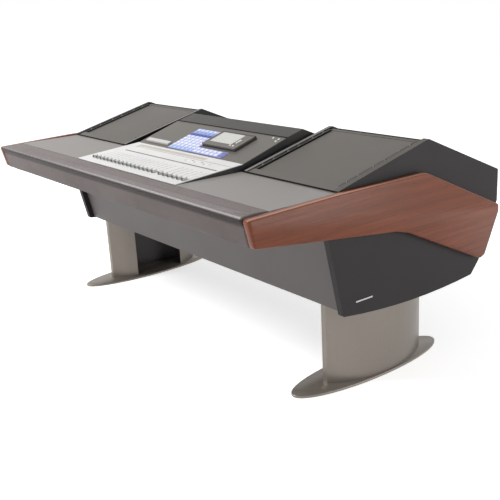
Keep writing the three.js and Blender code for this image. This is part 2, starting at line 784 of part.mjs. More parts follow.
// Keypad: one bent mat with two banks of raised keys
function keyBank({ x, y, columns, rows }) {
  const [pitchX, pitchY] = keySize.map((value) => value + keyGap);
  const matWidth = columns * pitchX - keyGap + 2 * keypadBorder;
  const matDepth = rows * pitchY - keyGap + 2 * keypadBorder;
  const mat = block([x, y, 0], [x + matWidth, y + matDepth, keypadThickness]);
  const keys = [];
  for (let column = 0; column < columns; column += 1) {
    for (let row = 0; row < rows; row += 1) {
      const [left, near] = [x + keypadBorder + column * pitchX, y + keypadBorder + row * pitchY];
      keys.push(block([left, near, keypadThickness / 2],
        [left + keySize[0], near + keySize[1], keypadThickness + keyRise]));
    }
  }
  return [mat, ...keys];
}
addPiece("control_keypad", joined([...keyBank(rearBank), ...keyBank(frontBank)]), keyBlue, controlDeck.frame);

// Raised holder for a writing strip
addPiece("strip_holder", block(
  [stripHolder.x, stripHolder.y, 0],
  [stripHolder.x + stripHolder.size[0], stripHolder.y + stripHolder.size[1], stripHolder.height],
), holderWhite, controlDeck.frame);

// Display: a raised frame with the screen let into its face
const displayHigh = displayPlace.size.map((value, axis) => [displayPlace.x, displayPlace.y][axis] + value);
const screenLow = [displayPlace.x + screenInset[0], displayPlace.y + screenInset[1]];
const screenHigh = screenLow.map((value, axis) => value + screenSize[axis]);
const screenSeat = displayPlace.height - screenDepth;
addPiece("display_housing", cutFrom(
  block([displayPlace.x, displayPlace.y, 0], [...displayHigh, displayPlace.height]),
  [block([...screenLow, screenSeat], [...screenHigh, displayPlace.height + cutOverrun])],
), consoleBlack, controlDeck.frame);
addPiece("display_screen", block(
  [screenLow[0] + seatGap, screenLow[1] + seatGap, screenSeat + seatGap],
  [screenHigh[0] - seatGap, screenHigh[1] - seatGap, screenSeat + seatGap + screenThickness],
), screenGlass, controlDeck.frame);

// Bridge: a shell that stands on the tray behind the console, open underneath
const bridgeFrontZ = mixerRearZ;
const bridgeRidgeZ = bridgeFrontZ + bridgeFrontRise;
const bridgeBackY = rearY - coverRecess;
const bridgeBackZ = bridgeRidgeZ - (deskHeight - rearTopZ) / (rearY - ridgeY) * (bridgeBackY - bridgeRidgeY);
const bridgeFoot = innerCheekOutline().slice(-2);
addPiece("bridge_housing", cutFrom(drawnAcross([
  [bridgeFrontY, trayTopZ(bridgeFrontY) + seatGap],
  [bridgeFrontY, bridgeFrontZ],
  [bridgeRidgeY, bridgeRidgeZ],
  [bridgeBackY, bridgeBackZ],
  [bridgeBackY, rearKneeZ],
  ...bridgeFoot,
], mixerLeft, mixerRight), [drawnAcross([
  [bridgeFrontY + bridgeWall, trayUnderZ(bridgeFrontY) - cutOverrun],
  ...shifted([[bridgeFrontY, shelfTopZ], [bridgeFrontY, bridgeFrontZ], [bridgeRidgeY, bridgeRidgeZ],
    [bridgeBackY, bridgeBackZ], [bridgeBackY, rearKneeZ]], -bridgeWall).slice(1, -1),
  [bridgeBackY - bridgeWall, trayUnderZ(rearY) - cutOverrun],
], mixerLeft + bridgeWall, mixerRight - bridgeWall)]), darkLaminate);

// Plain metal bar on the right side panel
addPiece("badge_bar", block(
  [halfBody, badgeRearY - badgeLength, badgeZ - badgeHeight / 2],
  [halfBody + badgeThickness, badgeRearY, badgeZ + badgeHeight / 2],
), brightSteel);

export default desk;
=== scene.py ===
import json
import math
from functools import reduce

import bmesh
import bpy
from bpy.props import FloatProperty, FloatVectorProperty, IntProperty, PointerProperty
from mathutils import Matrix, Vector, geometry, noise


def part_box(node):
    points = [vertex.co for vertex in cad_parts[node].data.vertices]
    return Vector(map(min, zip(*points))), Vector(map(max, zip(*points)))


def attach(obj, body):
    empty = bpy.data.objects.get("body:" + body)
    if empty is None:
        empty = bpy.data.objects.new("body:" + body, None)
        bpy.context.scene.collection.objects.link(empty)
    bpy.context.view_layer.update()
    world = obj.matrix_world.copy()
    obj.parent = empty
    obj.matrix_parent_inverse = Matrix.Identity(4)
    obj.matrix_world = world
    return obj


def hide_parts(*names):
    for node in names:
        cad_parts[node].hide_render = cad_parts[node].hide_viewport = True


bl_info = {
    "name": "Studio Desk",
    "version": (1, 0, 0),
    "blender": (4, 5, 0),
    "location": "View3D > Sidebar > Studio Desk",
    "description": "Finishes a studio desk with rack modules, a padded armrest and a mixing console",
    "category": "Object",
}

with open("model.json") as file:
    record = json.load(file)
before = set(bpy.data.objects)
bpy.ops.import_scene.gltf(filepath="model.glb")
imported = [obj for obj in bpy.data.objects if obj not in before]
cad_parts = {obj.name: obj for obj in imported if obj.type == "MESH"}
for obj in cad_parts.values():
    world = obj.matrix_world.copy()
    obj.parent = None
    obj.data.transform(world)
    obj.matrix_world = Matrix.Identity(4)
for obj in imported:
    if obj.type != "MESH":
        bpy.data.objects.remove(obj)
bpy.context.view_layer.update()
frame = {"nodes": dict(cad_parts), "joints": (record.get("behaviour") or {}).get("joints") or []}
NODES = frame["nodes"]

SIDES = ("left", "right")
ACROSS = Vector((1, 0, 0))
MM = 0.001
SHARP_ANGLE = 32  # degrees
SENSOR_WIDTH = 36  # millimetres
USUAL_REACH, NARROW_REACH = 0.20, 0.15  # how far a noise's values lie from its middle


# Properties
def length(name, description, default):
    return FloatProperty(
        name=name, description=description, default=default, min=0, unit="LENGTH", precision=4
    )


def plain_number(name, description, default):
    return FloatProperty(name=name, description=description, default=default, min=0)


def whole_number(name, description, default, least=1):
    return IntProperty(name=name, description=description, default=default, min=least)


def view_angle(name, description, degrees):
    return FloatProperty(
        name=name, description=description, default=math.radians(degrees), subtype="ANGLE"
    )


def colour(name, description, default):
    return FloatVectorProperty(
        name=name, description=description, default=default, size=3, min=0, max=1, subtype="COLOR"
    )


class DeskFinishes(bpy.types.PropertyGroup):
    """Colours of the desk's materials"""

    wood_light: colour("Light grain", "Light streaks of the wood ends", (0.222, 0.057, 0.0195))
    wood_dark: colour("Dark grain", "Dark streaks of the wood ends", (0.114, 0.027, 0.0100))
    # Painted highlight: the paler colour on the wood ends' outer top edge
    wood_edge_highlight: colour("Handled edge", "Outer top edge of the wood ends", (0.56, 0.30, 0.22))
    # Partly painted sheen: the work surface is given a lighter grey than the slopes to stand for its sheen
    # from above
    worktop: colour("Work surface", "Laminate of the desktop boards", (0.245, 0.227, 0.212))
    slope: colour("Module slopes", "Laminate of the blanks and module fronts", (0.092, 0.081, 0.070))
    cover: colour("Rear covers", "Laminate of the rear covers and the bridge", (0.044, 0.040, 0.035))
    # Painted highlight: the lighter colour on the cheeks' sloped edges
    cheek_edge_highlight: colour("Cheek edges", "Sloped edges of the cheeks", (0.17, 0.16, 0.15))
    charcoal: colour("Cabinet sides", "Laminate of the side panels", (0.021, 0.0175, 0.0185))
    # Partly painted light: the apron and the tray are given lighter colours to stand for light bounced up
    # from the floor
    apron: colour("Cabinet front", "Laminate of the apron", (0.101, 0.086, 0.086))
    tray: colour("Tray", "Laminate of the tray and of the armrest's board", (0.136, 0.111, 0.109))
    vinyl: colour("Armrest", "Grained vinyl of the armrest", (0.176, 0.152, 0.149))
    # Painted highlight: the vinyl's lighter colour along the armrest's nose
    vinyl_nose_highlight: colour("Armrest nose", "Vinyl rubbed lighter along the nose", (0.50, 0.475, 0.48))
    lacquer: colour("Legs", "Metallic lacquer of the legs and bases", (0.225, 0.197, 0.171))
    # Partly painted shade: this black on the front lip bands and the bridge seal also stands for the shadow
    # lines there
    edge_band: colour("Edge bands", "Black bands on the modules' edges", (0.005, 0.0045, 0.0045))
    deck_white: colour("Fader deck", "Paint of the fader deck", (0.72, 0.713, 0.70))
    deck_grey: colour("Control deck", "Paint of the control deck", (0.108, 0.096, 0.084))
    key_blue: colour("Blue keys", "Darker keys", (0.085, 0.10, 0.36))
    key_sky: colour("Sky blue keys", "Keys between the darker and the lighter ones", (0.44, 0.60, 0.86))
    key_mat: colour("Key mat", "Mat between the keys", (0.30, 0.32, 0.66))
    key_pale: colour("Pale keys", "Lighter keys", (0.82, 0.84, 0.95))


class ArmrestSizes(bpy.types.PropertyGroup):
    """Sizes of the armrest's cushion"""

    crown: length("Crown", "Rise of the cushion's middle above its edges", 0.003)
    roll: length("Roll", "Radius of the roll along the cushion's nose", 0.0100)
    cove: length("Cove", "Furthest that the roll stands out over the front", 0.009)
    swell: length("Swell", "Furthest that the cover swells over the foam", 0.0010)
    lip: length("Lip", "Depth of the bead along the cushion's foot", 0.014)
    end_round: length("End rounding", "Length over which each end closes", 0.010)
    station: length("Station", "Spacing of the mesh along the cushion", 0.0085)
    pressure: plain_number("Pressure", "Pressure under the cover", 4)
    steps: whole_number("Steps", "Steps of the cover's simulation", 20)


class FastenerSizes(bpy.types.PropertyGroup):
    """Sizes of the rack screws and their washers"""

    first_row: length("First row", "From the rail's near end to the first screw", 0.0377)
    row_gap: length("Row gap", "Between the two screws of a step", 0.05715)
    step: length("Step", "Three rack units", 0.13335)
    setback: length("Setback", "From the opening's edge to the screws", 0.00755)
    head_radius: length("Head radius", "Radius of a screw's head", 0.0042)
    head_height: length("Head height", "Height of a screw's head", 0.0026)
    washer_radius: length("Washer radius", "Radius of a cup washer", 0.0068)
    washer_height: length("Washer height", "Height of a cup washer", 0.0012)


class ConsoleSizes(bpy.types.PropertyGroup):
    """Sizes of the printed and raised details on the console"""

    scale_marks: whole_number("Scale marks", "Marks beside each slot", 6, least=2)
    mark_width: length("Mark width", "Length of a scale mark across the deck", 0.004)
    mark_depth: length("Mark depth", "Thickness of a scale mark along the deck", 0.0009)
    print_height: length("Print height", "Rise of the printed marks over the deck", 0.00018)
    button_columns: whole_number("Button columns", "Small keys in a row", 13)
    button_width: length("Button width", "Width of a channel button", 0.0105)
    button_depth: length("Button depth", "Depth of a channel button", 0.0065)
    button_height: length("Button height", "Height of a channel button", 0.0022)
    key_width: length("Key width", "Width of a keypad key", 0.026)
    key_depth: length("Key depth", "Depth of a keypad key", 0.015)
    key_height: length("Key height", "Height of a keypad key over its mat", 0.002)
    key_gap: length("Key gap", "Gap between keypad keys", 0.005)
    key_border: length("Key border", "Mat around a bank of keys", 0.005)


class StageSizes(bpy.types.PropertyGroup):
    """The camera and the light"""

    azimuth: view_angle("Azimuth", "Turn of the camera about Z", 53.8218)
    elevation: view_angle("Elevation", "Camera's angle above the horizon", 17.4706)
    roll: view_angle("Roll", "Camera's turn about its own line of sight", -3.25689)
    place: FloatVectorProperty(
        name="Place", description="Camera's place", subtype="XYZ", unit="LENGTH",
        default=(2.929959, -2.017553, 1.420352),
    )
    lens: plain_number("Lens", "Focal length on a 36 mm sensor, in millimetres", 58.254)
    key_power: plain_number("Key lamp", "Power of the key lamp in watts", 505)
    fill: plain_number("Room light", "Strength of the light from all round", 0.43)


class StudioDeskSettings(bpy.types.PropertyGroup):
    """All settings of the desk"""

    finishes: PointerProperty(type=DeskFinishes)
    armrest: PointerProperty(type=ArmrestSizes)
    fasteners: PointerProperty(type=FastenerSizes)
    console: PointerProperty(type=ConsoleSizes)
    stage: PointerProperty(type=StageSizes)


def settings():
    return bpy.context.scene.studio_desk


# Shader nodes
def set_or_linked(tree, socket, value):
    """Links another node's output to a socket, or sets its value."""
    if isinstance(value, bpy.types.NodeSocket):
        tree.links.new(value, socket)
    else:
        socket.default_value = value


def add_node(tree, kind, inputs=None, **options):
    """A node with its options set; each input is a value or another node's output."""
    node = tree.nodes.new(kind)
    for name, value in options.items():
        setattr(node, name, value)
    for name, value in (inputs or {}).items():
        set_or_linked(tree, node.inputs[name], value)
    return node


def new_finish(name, **surface):
    """A material with one principled surface; surface gives its sockets' constant values."""
    material = bpy.data.materials.new(name)
    material.use_nodes = True
    tree = material.node_tree
    tree.nodes.clear()
    shader = tree.nodes.new("ShaderNodeBsdfPrincipled")
    for socket, value in surface.items():
        shader.inputs[socket.replace("_", " ")].default_value = value
    output = tree.nodes.new("ShaderNodeOutputMaterial")
    tree.links.new(shader.outputs["BSDF"], output.inputs["Surface"])
    return material, tree, shader


def placed(tree, scale=(1, 1, 1), turn=(0, 0, 0)):
    """The piece's own coordinates, scaled and turned."""
    source = tree.nodes.new("ShaderNodeTexCoord").outputs["Object"]
    mapping = add_node(tree, "ShaderNodeMapping", {"Vector": source, "Scale": scale, "Rotation": turn})
    return mapping.outputs["Vector"]


def grains(tree, vector, scale, detail=2.0, roughness=0.5):
    return add_node(
        tree, "ShaderNodeTexNoise",
        {"Vector": vector, "Scale": scale, "Detail": detail, "Roughness": roughness},
    ).outputs["Fac"]


def blended(tree, factor, first, second):
    """Two colours mixed by a factor."""
    mix = add_node(tree, "ShaderNodeMix", {"Factor": factor}, data_type="RGBA")
    for socket, value in ((mix.inputs[6], first), (mix.inputs[7], second)):
        set_or_linked(tree, socket, value if isinstance(value, bpy.types.NodeSocket) else (*value[:3], 1))
    return mix.outputs[2]


def remapped(tree, value, low, high, to_low=0.0, to_high=1.0):
    return add_node(
        tree, "ShaderNodeMapRange",
        {"Value": value, "From Min": low, "From Max": high, "To Min": to_low, "To Max": to_high},
    ).outputs["Result"]


def spread(tree, noise_value, to_low=0.0, to_high=1.0, reach=USUAL_REACH):
    """A noise's reach around its middle spread over other values."""
    return remapped(tree, noise_value, 0.5 - reach, 0.5 + reach, to_low, to_high)


def worked(tree, operation, *values):
    node = add_node(tree, "ShaderNodeMath", operation=operation)
    for socket, value in zip(node.inputs, values):
        set_or_linked(tree, socket, value)
    return node.outputs["Value"]


def product(tree, *values):
    return reduce(lambda first, second: worked(tree, "MULTIPLY", first, second), values)


def parts(tree, vector):
    """A vector's X, Y and Z."""
    return add_node(tree, "ShaderNodeSeparateXYZ", {0: vector}).outputs


def facing(tree):
    """X, Y and Z of the surface's direction."""
    return parts(tree, tree.nodes.new("ShaderNodeNewGeometry").outputs["Normal"])


def raised(tree, shader, height, strength, distance, under=None):
    """A bump on the surface, over another bump if one is given."""
    bump = add_node(tree, "ShaderNodeBump", {"Height": height, "Strength": strength, "Distance": distance})
    if under is not None:
        tree.links.new(under, bump.inputs["Normal"])
    tree.links.new(bump.outputs["Normal"], shader.inputs["Normal"])
    return bump.outputs["Normal"]


def varied(tree, noise_value, base, darker, lighter, reach=USUAL_REACH):
    """A colour that wanders with a noise between a darker and a lighter share of itself."""
    wander = spread(tree, noise_value, reach=reach)
    return blended(tree, wander, shade(base, darker), shade(base, lighter))


def coated(tree, shader, colour, roughness):
    """Links the surface's colour and roughness."""
    tree.links.new(colour, shader.inputs["Base Color"])
    tree.links.new(roughness, shader.inputs["Roughness"])


def shade(base, share):
    """A darker or a lighter shade of a colour."""
    return tuple(min(c * share, 1) for c in base)


# Finishes
def wood_finish(name, light, dark, edge_highlight):
    """Straight-grained veneer: broad figure, fine streaks and pores along the desk's depth, and a painted
    highlight that makes the outer top edge paler."""
    material, tree, shader = new_finish(
        name, Specular_IOR_Level=0.22, Coat_Weight=0.06, Coat_Roughness=0.28
    )
    grain_turn = (math.radians(-3), 0, 0)
    streak_share, figure_share, drift_share, dark_end, light_end = 0.72, 0.12, 0.30, 0.34, 0.82
    pore_share, pore_shade, edge_highlight_share, edge_start, edge_full = 0.45, 0.5, 0.75, 0.55, 0.85
    drift = grains(tree, placed(tree, scale=(1, 1.4, 5)), 2.2, detail=3)
    figure = add_node(
        tree, "ShaderNodeTexWave",
        {"Vector": placed(tree, (1, 0.10, 1), grain_turn), "Scale": 7.5, "Distortion": 7.0, "Detail": 3.0,
         "Detail Scale": 1.6, "Detail Roughness": 0.6},
        bands_direction="Z", wave_profile="SIN",
    ).outputs["Fac"]
    streaks = grains(tree, placed(tree, (40, 3, 230), grain_turn), 1.0, 5, 0.62)
    pores = grains(tree, placed(tree, scale=(500, 38, 900)), 1.0, detail=1)
    pore_mask = remapped(tree, pores, 0.60, 0.72)
    mixed = worked(tree, "MULTIPLY_ADD", streaks, streak_share, product(tree, figure, figure_share))
    mixed = worked(tree, "MULTIPLY_ADD", drift, drift_share, mixed)
    veneer = blended(tree, remapped(tree, mixed, dark_end, light_end), dark, light)
    dimmed = blended(tree, product(tree, pore_mask, pore_share), veneer, shade(dark, pore_shade))
    way = facing(tree)
    outward = product(tree, worked(tree, "SIGN", parts(tree, placed(tree))["X"]), way["X"])
    # Painted highlight: upward faces that turn outwards take the paler edge colour
    upward = remapped(tree, way["Z"], edge_start, edge_full)
    edge = product(tree, upward, remapped(tree, outward, 0.0, 0.2), edge_highlight_share)
    coated(tree, shader, blended(tree, edge, dimmed, edge_highlight), spread(tree, streaks, 0.42, 0.30))
    under = raised(tree, shader, worked(tree, "SUBTRACT", 1.0, pore_mask), 0.25, 0.00025)
    raised(tree, shader, streaks, 0.10, 0.0004, under)
    return material


def edge_masks(tree):
    """Where a board's level top edges and its edges along the slope of a module face upwards."""
    rise, lean = 0.5, 0.12
    way = facing(tree)
    upward = worked(tree, "GREATER_THAN", way["Z"], rise)
    sloped = product(tree, upward, worked(tree, "LESS_THAN", way["Y"], -lean))
    falling = worked(tree, "GREATER_THAN", way["Y"], lean)
    return worked(tree, "SUBTRACT", worked(tree, "SUBTRACT", upward, sloped), falling), sloped


def laminate_finish(name, base, roughness=0.5, contrast=0.10, level_edge=None, slope_edge=None, gloss=0.5):
    """Matt laminate: a pearl-textured face with faint clouds and fine flecks, and colours on its upward
    edges, which on some boards are painted light.
    """
    material, tree, shader = new_finish(name, Specular_IOR_Level=gloss)
    clouds = grains(tree, placed(tree), 3.2, detail=3)
    flecks = grains(tree, placed(tree), 620, detail=2, roughness=0.7)
    pearl = grains(tree, placed(tree), 1150, detail=1)
    cloudy = varied(tree, clouds, base, 1 - contrast, 1 + contrast)
    fleck_share, fleck_shade = 0.5, 0.72
    fleck_mask = spread(tree, flecks, 0, fleck_share, NARROW_REACH)
    face = blended(tree, fleck_mask, cloudy, shade(base, fleck_shade))
    if level_edge:
        level, sloped = edge_masks(tree)
        face = blended(tree, level, face, level_edge)
        face = blended(tree, sloped, face, slope_edge)
    coated(tree, shader, face, spread(tree, clouds, roughness - 0.05, roughness + 0.05))
    raised(tree, shader, pearl, 0.22, 0.0002)
    return material


def vinyl_finish(name, base, nose_highlight):
    """Soft vinyl with a pebbled grain, with a painted sheen that lightens its top, a painted highlight along
    the nose, stronger to the right, and a painted shadow in the fold under it."""
    material, tree, shader = new_finish(name, Specular_IOR_Level=0.015)
    pebbles = add_node(
        tree, "ShaderNodeTexVoronoi",
        {"Vector": placed(tree), "Scale": 620.0, "Randomness": 0.9},
        feature="DISTANCE_TO_EDGE",
    ).outputs["Distance"]
    creases = remapped(tree, pebbles, 0.0, 0.22)
    rub = grains(tree, placed(tree, scale=(0.7, 1, 1)), 4.5, detail=4, roughness=0.6)
    cover = varied(tree, rub, base, 0.88, 1.12, NARROW_REACH)
    way, place = facing(tree), parts(tree, placed(tree))
    # The way that the nose faces in Y and Z, and how closely a face looks that way
    nose_y, nose_z, nose_start, nose_full = -0.56, 0.83, 0.87, 0.95
    # Where the nose's painted highlight is weakest, at the left, and strongest, at the right
    left_end, right_end, left_highlight_share, right_highlight_share = -0.55, 0.3, 0.68, 1.2
    top_start, top_full, top_sheen_share, fold_shadow_share, crease_shade = 0.85, 0.97, 1.62, 0.08, 0.6
    turned = worked(tree, "MULTIPLY_ADD", way["Z"], nose_z, product(tree, way["Y"], nose_y))
    along = remapped(tree, place["X"], left_end, right_end)
    nose = blended(tree, along, shade(nose_highlight, left_highlight_share), shade(nose_highlight, right_highlight_share))
    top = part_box("left_desktop")[1].z
    # The fold under the nose gets a painted shadow, full from 9 to 25 mm below the top and fading out at 5
    # and 38 mm
    fold_top, dark_top, dark_low, fold_low = (top - depth * MM for depth in (5, 9, 25, 38))
    fold = product(
        tree, remapped(tree, place["Z"], fold_low, dark_low), remapped(tree, place["Z"], fold_top, dark_top)
    )
    # A painted sheen lightens the top, a painted highlight lightens the nose, and a painted shadow darkens
    # the fold
    cover = blended(tree, remapped(tree, way["Z"], top_start, top_full), cover, shade(base, top_sheen_share))
    cover = blended(tree, remapped(tree, turned, nose_start, nose_full), cover, nose)
    cover = blended(tree, fold, cover, shade(base, fold_shadow_share))
    grained = blended(tree, creases, shade(base, crease_shade), cover)
    coated(tree, shader, grained, spread(tree, rub, 0.40, 0.31, NARROW_REACH))
    under = raised(tree, shader, creases, 0.25, 0.0002)
    raised(tree, shader, rub, 0.12, 0.003, under)
    return material


def lacquer_finish(name, base, middle, inside_shade):
    """Metallic lacquer on steel: fine flake, faint upright draw lines and soft scuffs, and a dark colour on
    the inside of the shells, partly dark paint and partly painted shade; the shells' middles stand at the
    given distance from the desk's middle."""
    material, tree, shader = new_finish(
        name, Metallic=0.55, Specular_IOR_Level=0.5, Coat_Weight=0.1, Coat_Roughness=0.35
    )
    flake = grains(tree, placed(tree), 900, detail=1)
    draw = grains(tree, placed(tree, scale=(260, 260, 4)), 1.0, detail=3)
    scuff = grains(tree, placed(tree), 9, detail=5, roughness=0.65)
    darker, lighter, draw_share, wall = 0.88, 1.12, 0.3, 1 * MM
    even = varied(tree, flake, base, darker, lighter)
    drawn = blended(tree, spread(tree, draw, 0, draw_share, NARROW_REACH), even, shade(base, darker))
    across = parts(tree, placed(tree))["X"]
    beyond = worked(tree, "SUBTRACT", worked(tree, "ABSOLUTE", across), middle)
    turned = product(tree, worked(tree, "SIGN", across), facing(tree)["X"], beyond)
    # Painted shade: faces that look into a shell take the darker inside colour
    shaded_inside = worked(tree, "LESS_THAN", turned, -wall)
    coated(tree, shader, blended(tree, shaded_inside, drawn, inside_shade), spread(tree, scuff, 0.34, 0.46))
    raised(tree, shader, draw, 0.05, 0.0004)
    return material


def paint_finish(name, base, roughness=0.45, metallic=0.0, texture=0.18, lid=None):
    """Paint on sheet metal: an orange-peel face with faint tone changes, and a lid of another colour."""
    material, tree, shader = new_finish(name, Metallic=metallic, Specular_IOR_Level=0.5)
    peel = grains(tree, placed(tree), 780, detail=2)
    tone = grains(tree, placed(tree), 7, detail=3)
    coat = varied(tree, tone, base, 0.93, 1.05)
    if lid:
        coat = lid(tree, coat)
    coated(tree, shader, coat, spread(tree, tone, roughness - 0.04, roughness + 0.05))
    raised(tree, shader, peel, texture, 0.00018)
    return material


def housing_finish(name, case, top):
    """The display's case: its top and the rim of its sides in the deck's colour, with a black line along the
    left and the rear edge, partly the case's dark edge and partly a painted shadow."""
    rim_depth, left_line, rear_line = 6 * MM, 7 * MM, 14 * MM
    low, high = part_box("display_housing")
    matrix = top_plane("display_housing")[0]
    above = matrix.col[2].to_3d()
    level = above.dot(matrix.translation)

    def lid(tree, coat):
        place = placed(tree)
        height = add_node(
            tree, "ShaderNodeVectorMath", {0: place, 1: above}, operation="DOT_PRODUCT"
        ).outputs["Value"]
        rim = worked(tree, "GREATER_THAN", height, level - rim_depth)
        split = parts(tree, place)
        # Black lines along the lid's left and rear edges, partly a painted shadow
        left = worked(tree, "LESS_THAN", split["X"], low.x + left_line)
        rear = worked(tree, "GREATER_THAN", split["Y"], high.y - rear_line)
        line = product(tree, rim, worked(tree, "MAXIMUM", left, rear))
        return blended(tree, worked(tree, "SUBTRACT", rim, line), coat, top)

    return paint_finish(name, case, 0.42, lid=lid)


def brushed_finish(name, base, roughness=0.3):
    """Brushed bright metal with its lines along the desk's depth."""
    material, tree, shader = new_finish(name, Metallic=0.95)
    lines = grains(tree, placed(tree, scale=(900, 14, 900)), 1.0, detail=4)
    brushed = varied(tree, lines, base, 0.85, 1.1)
    coated(tree, shader, brushed, spread(tree, lines, roughness - 0.06, roughness + 0.1))
    raised(tree, shader, lines, 0.12, 0.0001)
    return material


def key_finish(name, pale, deep, middle=None):
    """Rubber keys whose tone, from deep to pale, each key carries in its own attribute."""
    material, tree, shader = new_finish(name, Specular_IOR_Level=0.4)
    tone = add_node(tree, "ShaderNodeAttribute", attribute_name="key_tone").outputs["Fac"]
    mottle = grains(tree, placed(tree), 240, detail=2)
    mixed = blended(tree, tone, deep, pale)
    if middle:
        lower = blended(tree, remapped(tree, tone, 0, 0.5), deep, middle)
        mixed = blended(tree, remapped(tree, tone, 0.5, 1), lower, pale)
    wear_share, wear_shade = 0.12, 0.6
    worn = blended(tree, spread(tree, mottle, 0, wear_share), mixed, shade(deep, wear_shade))
    coated(tree, shader, worn, spread(tree, mottle, 0.45, 0.58))
    raised(tree, shader, mottle, 0.08, 0.0003)
    return material


def cap_finish(name, base, near):
    """Fader caps: satin plastic with a painted shade on the near side."""
    material, tree, shader = new_finish(name, Specular_IOR_Level=0.5)
    lean = -0.45
    # Painted shade: faces that point towards the near side take the dark colour
    skirt = worked(tree, "LESS_THAN", facing(tree)["Y"], lean)
    speck = grains(tree, placed(tree), 900, detail=1)
    satin = varied(tree, speck, base, 0.9, 1.1)
    coated(tree, shader, blended(tree, skirt, satin, near), spread(tree, speck, 0.36, 0.48))
    raised(tree, shader, speck, 0.08, 0.0002)
    return material


def screen_finish(name, base):
    """Pale glass over an unlit panel, with a faint pixel grid under it."""
    material, tree, shader = new_finish(
        name, Specular_IOR_Level=0.55, Coat_Weight=0.6, Coat_Roughness=0.08
    )
    grid = add_node(
        tree, "ShaderNodeTexBrick",
        {"Vector": placed(tree), "Scale": 220.0, "Mortar Size": 0.03, "Color1": (*base, 1),
         "Color2": (*shade(base, 0.97), 1), "Mortar": (*shade(base, 0.86), 1)},
    ).outputs["Color"]
    haze = grains(tree, placed(tree), 12, detail=3)
    hazy = blended(tree, spread(tree, haze, 0, 0.12), grid, shade(base, 0.8))
    coated(tree, shader, hazy, spread(tree, haze, 0.22, 0.32))
    return material


# Solids that keep their shape
def softening_tree():
    """Joins a solid's loose faces, drops its stored normals and shades its curved stretches smooth."""
    tree, entry, exit_node = new_tree(
        "soften_faces", {"Join distance": 0.01 * MM, "Sharp angle": math.radians(SHARP_ANGLE)}
    )
    merged = output_of(
        tree, "GeometryNodeMergeByDistance",
        {"Geometry": entry["Geometry"], "Distance": entry["Join distance"]},
    )
    corner = tree.nodes.new("GeometryNodeInputMeshEdgeAngle").outputs["Unsigned Angle"]
    sharp = output_of(
        tree, "FunctionNodeCompare", {0: corner, 1: entry["Sharp angle"]}, operation="GREATER_THAN"
    )
    shaded = output_of(
        tree, "GeometryNodeSetMeshNormal",
        {"Mesh": merged, "Remove Custom": True, "Face Sharpness": False, "Edge Sharpness": sharp},
        mode="SHARPNESS",
    )
    tree.links.new(shaded, exit_node.inputs["Geometry"])
    return tree


def pair(name):
    """The nodes of a part that stands on the left and on the right."""
    return [f"{side}_{name}" for side in SIDES]


def dressed(nodes, material, bevel=0.0, angle=SHARP_ANGLE, segments=2):
    """Gives CAD nodes a finish, joins their faces and eases their edges."""
    tree = bpy.data.node_groups.get("soften_faces") or softening_tree()
    sharp_angle = tree.interface.items_tree["Sharp angle"].identifier
    for name in nodes:
        node = NODES[name]
        node.data.materials.clear()
        node.data.materials.append(material)
        soften = node.modifiers.new("soften", "NODES")
        soften.node_group = tree
        soften[sharp_angle] = math.radians(angle)
        if bevel:
            ease = node.modifiers.new("ease", "BEVEL")
            ease.width = bevel
            ease.segments = segments
            ease.limit_method = "ANGLE"
            ease.angle_limit = math.radians(angle)
            ease.harden_normals = True


# Meshes
def linked(name, data):
    """A new object in the scene."""
    item = bpy.data.objects.new(name, data)
    bpy.context.scene.collection.objects.link(item)
    return item


def new_piece(name, mesh, material):
    """Links a finished mesh as a piece that rides on the desk."""
    piece = linked(name, mesh)
    piece.data.materials.clear()
    piece.data.materials.append(material)
    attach(piece, "root")
    return piece


def lofted(name, rows, material, smooth_angle=50):
    """A piece with a skin through equal closed rows of points and a face over each end. Its edges are hard
    where the faces turn by more than the angle, in degrees."""
    merge_distance = 0.1 * MM * MM
    shape = bmesh.new()
    skin = [[shape.verts.new(point) for point in row] for row in rows]
    for here, there in zip(skin, skin[1:]):
        for corners in zip(here, here[1:] + here[:1], there[1:] + there[:1], there):
            shape.faces.new(corners)
    shape.faces.new(skin[0][::-1])
    shape.faces.new(skin[-1])
    bmesh.ops.remove_doubles(shape, verts=shape.verts, dist=merge_distance)
    bmesh.ops.recalc_face_normals(shape, faces=shape.faces)
    for face in shape.faces:
        face.smooth = True
    for edge in shape.edges:
        edge.smooth = edge.calc_face_angle(0) < math.radians(smooth_angle)
    mesh = bpy.data.meshes.new(name)
    shape.to_mesh(mesh)
    shape.free()
    return new_piece(name, mesh, material)


def extruded(name, outline, ends, material, smooth_angle):
    """A piece with one outline of Y and Z, run across the desk between two places."""
    rows = [[(x, y, z) for y, z in outline] for x in ends]
    return lofted(name, rows, material, smooth_angle)


def top_plane(node):
    """The frame of a node's top face: a matrix with X across the desk, Y up the slope and Z out of the face,
    from the face's near left corner, and the face's size."""
    mesh, same_way, same_height = NODES[node].data, 0.9999, 0.01 * MM
    normal = max(mesh.polygons, key=lambda face: face.area * max(face.normal.z, 0)).normal.copy()
    along = normal.cross(ACROSS).normalized()
    level = [face for face in mesh.polygons if face.normal.dot(normal) > same_way]
    height = max(mesh.vertices[face.vertices[0]].co.dot(normal) for face in level)
    flat = [v.co for v in mesh.vertices if abs(v.co.dot(normal) - height) < same_height]
    xs = [co.x for co in flat]
    runs = [co.dot(along) for co in flat]
    origin = ACROSS * min(xs) + along * min(runs) + normal * height
    matrix = Matrix((ACROSS, along, normal)).transposed().to_4x4()
    matrix.translation = origin
    return matrix, (max(xs) - min(xs), max(runs) - min(runs))


# Geometry Nodes
def output_of(tree, kind, inputs=None, **options):
    """A new node's first output."""
    return add_node(tree, kind, inputs, **options).outputs[0]


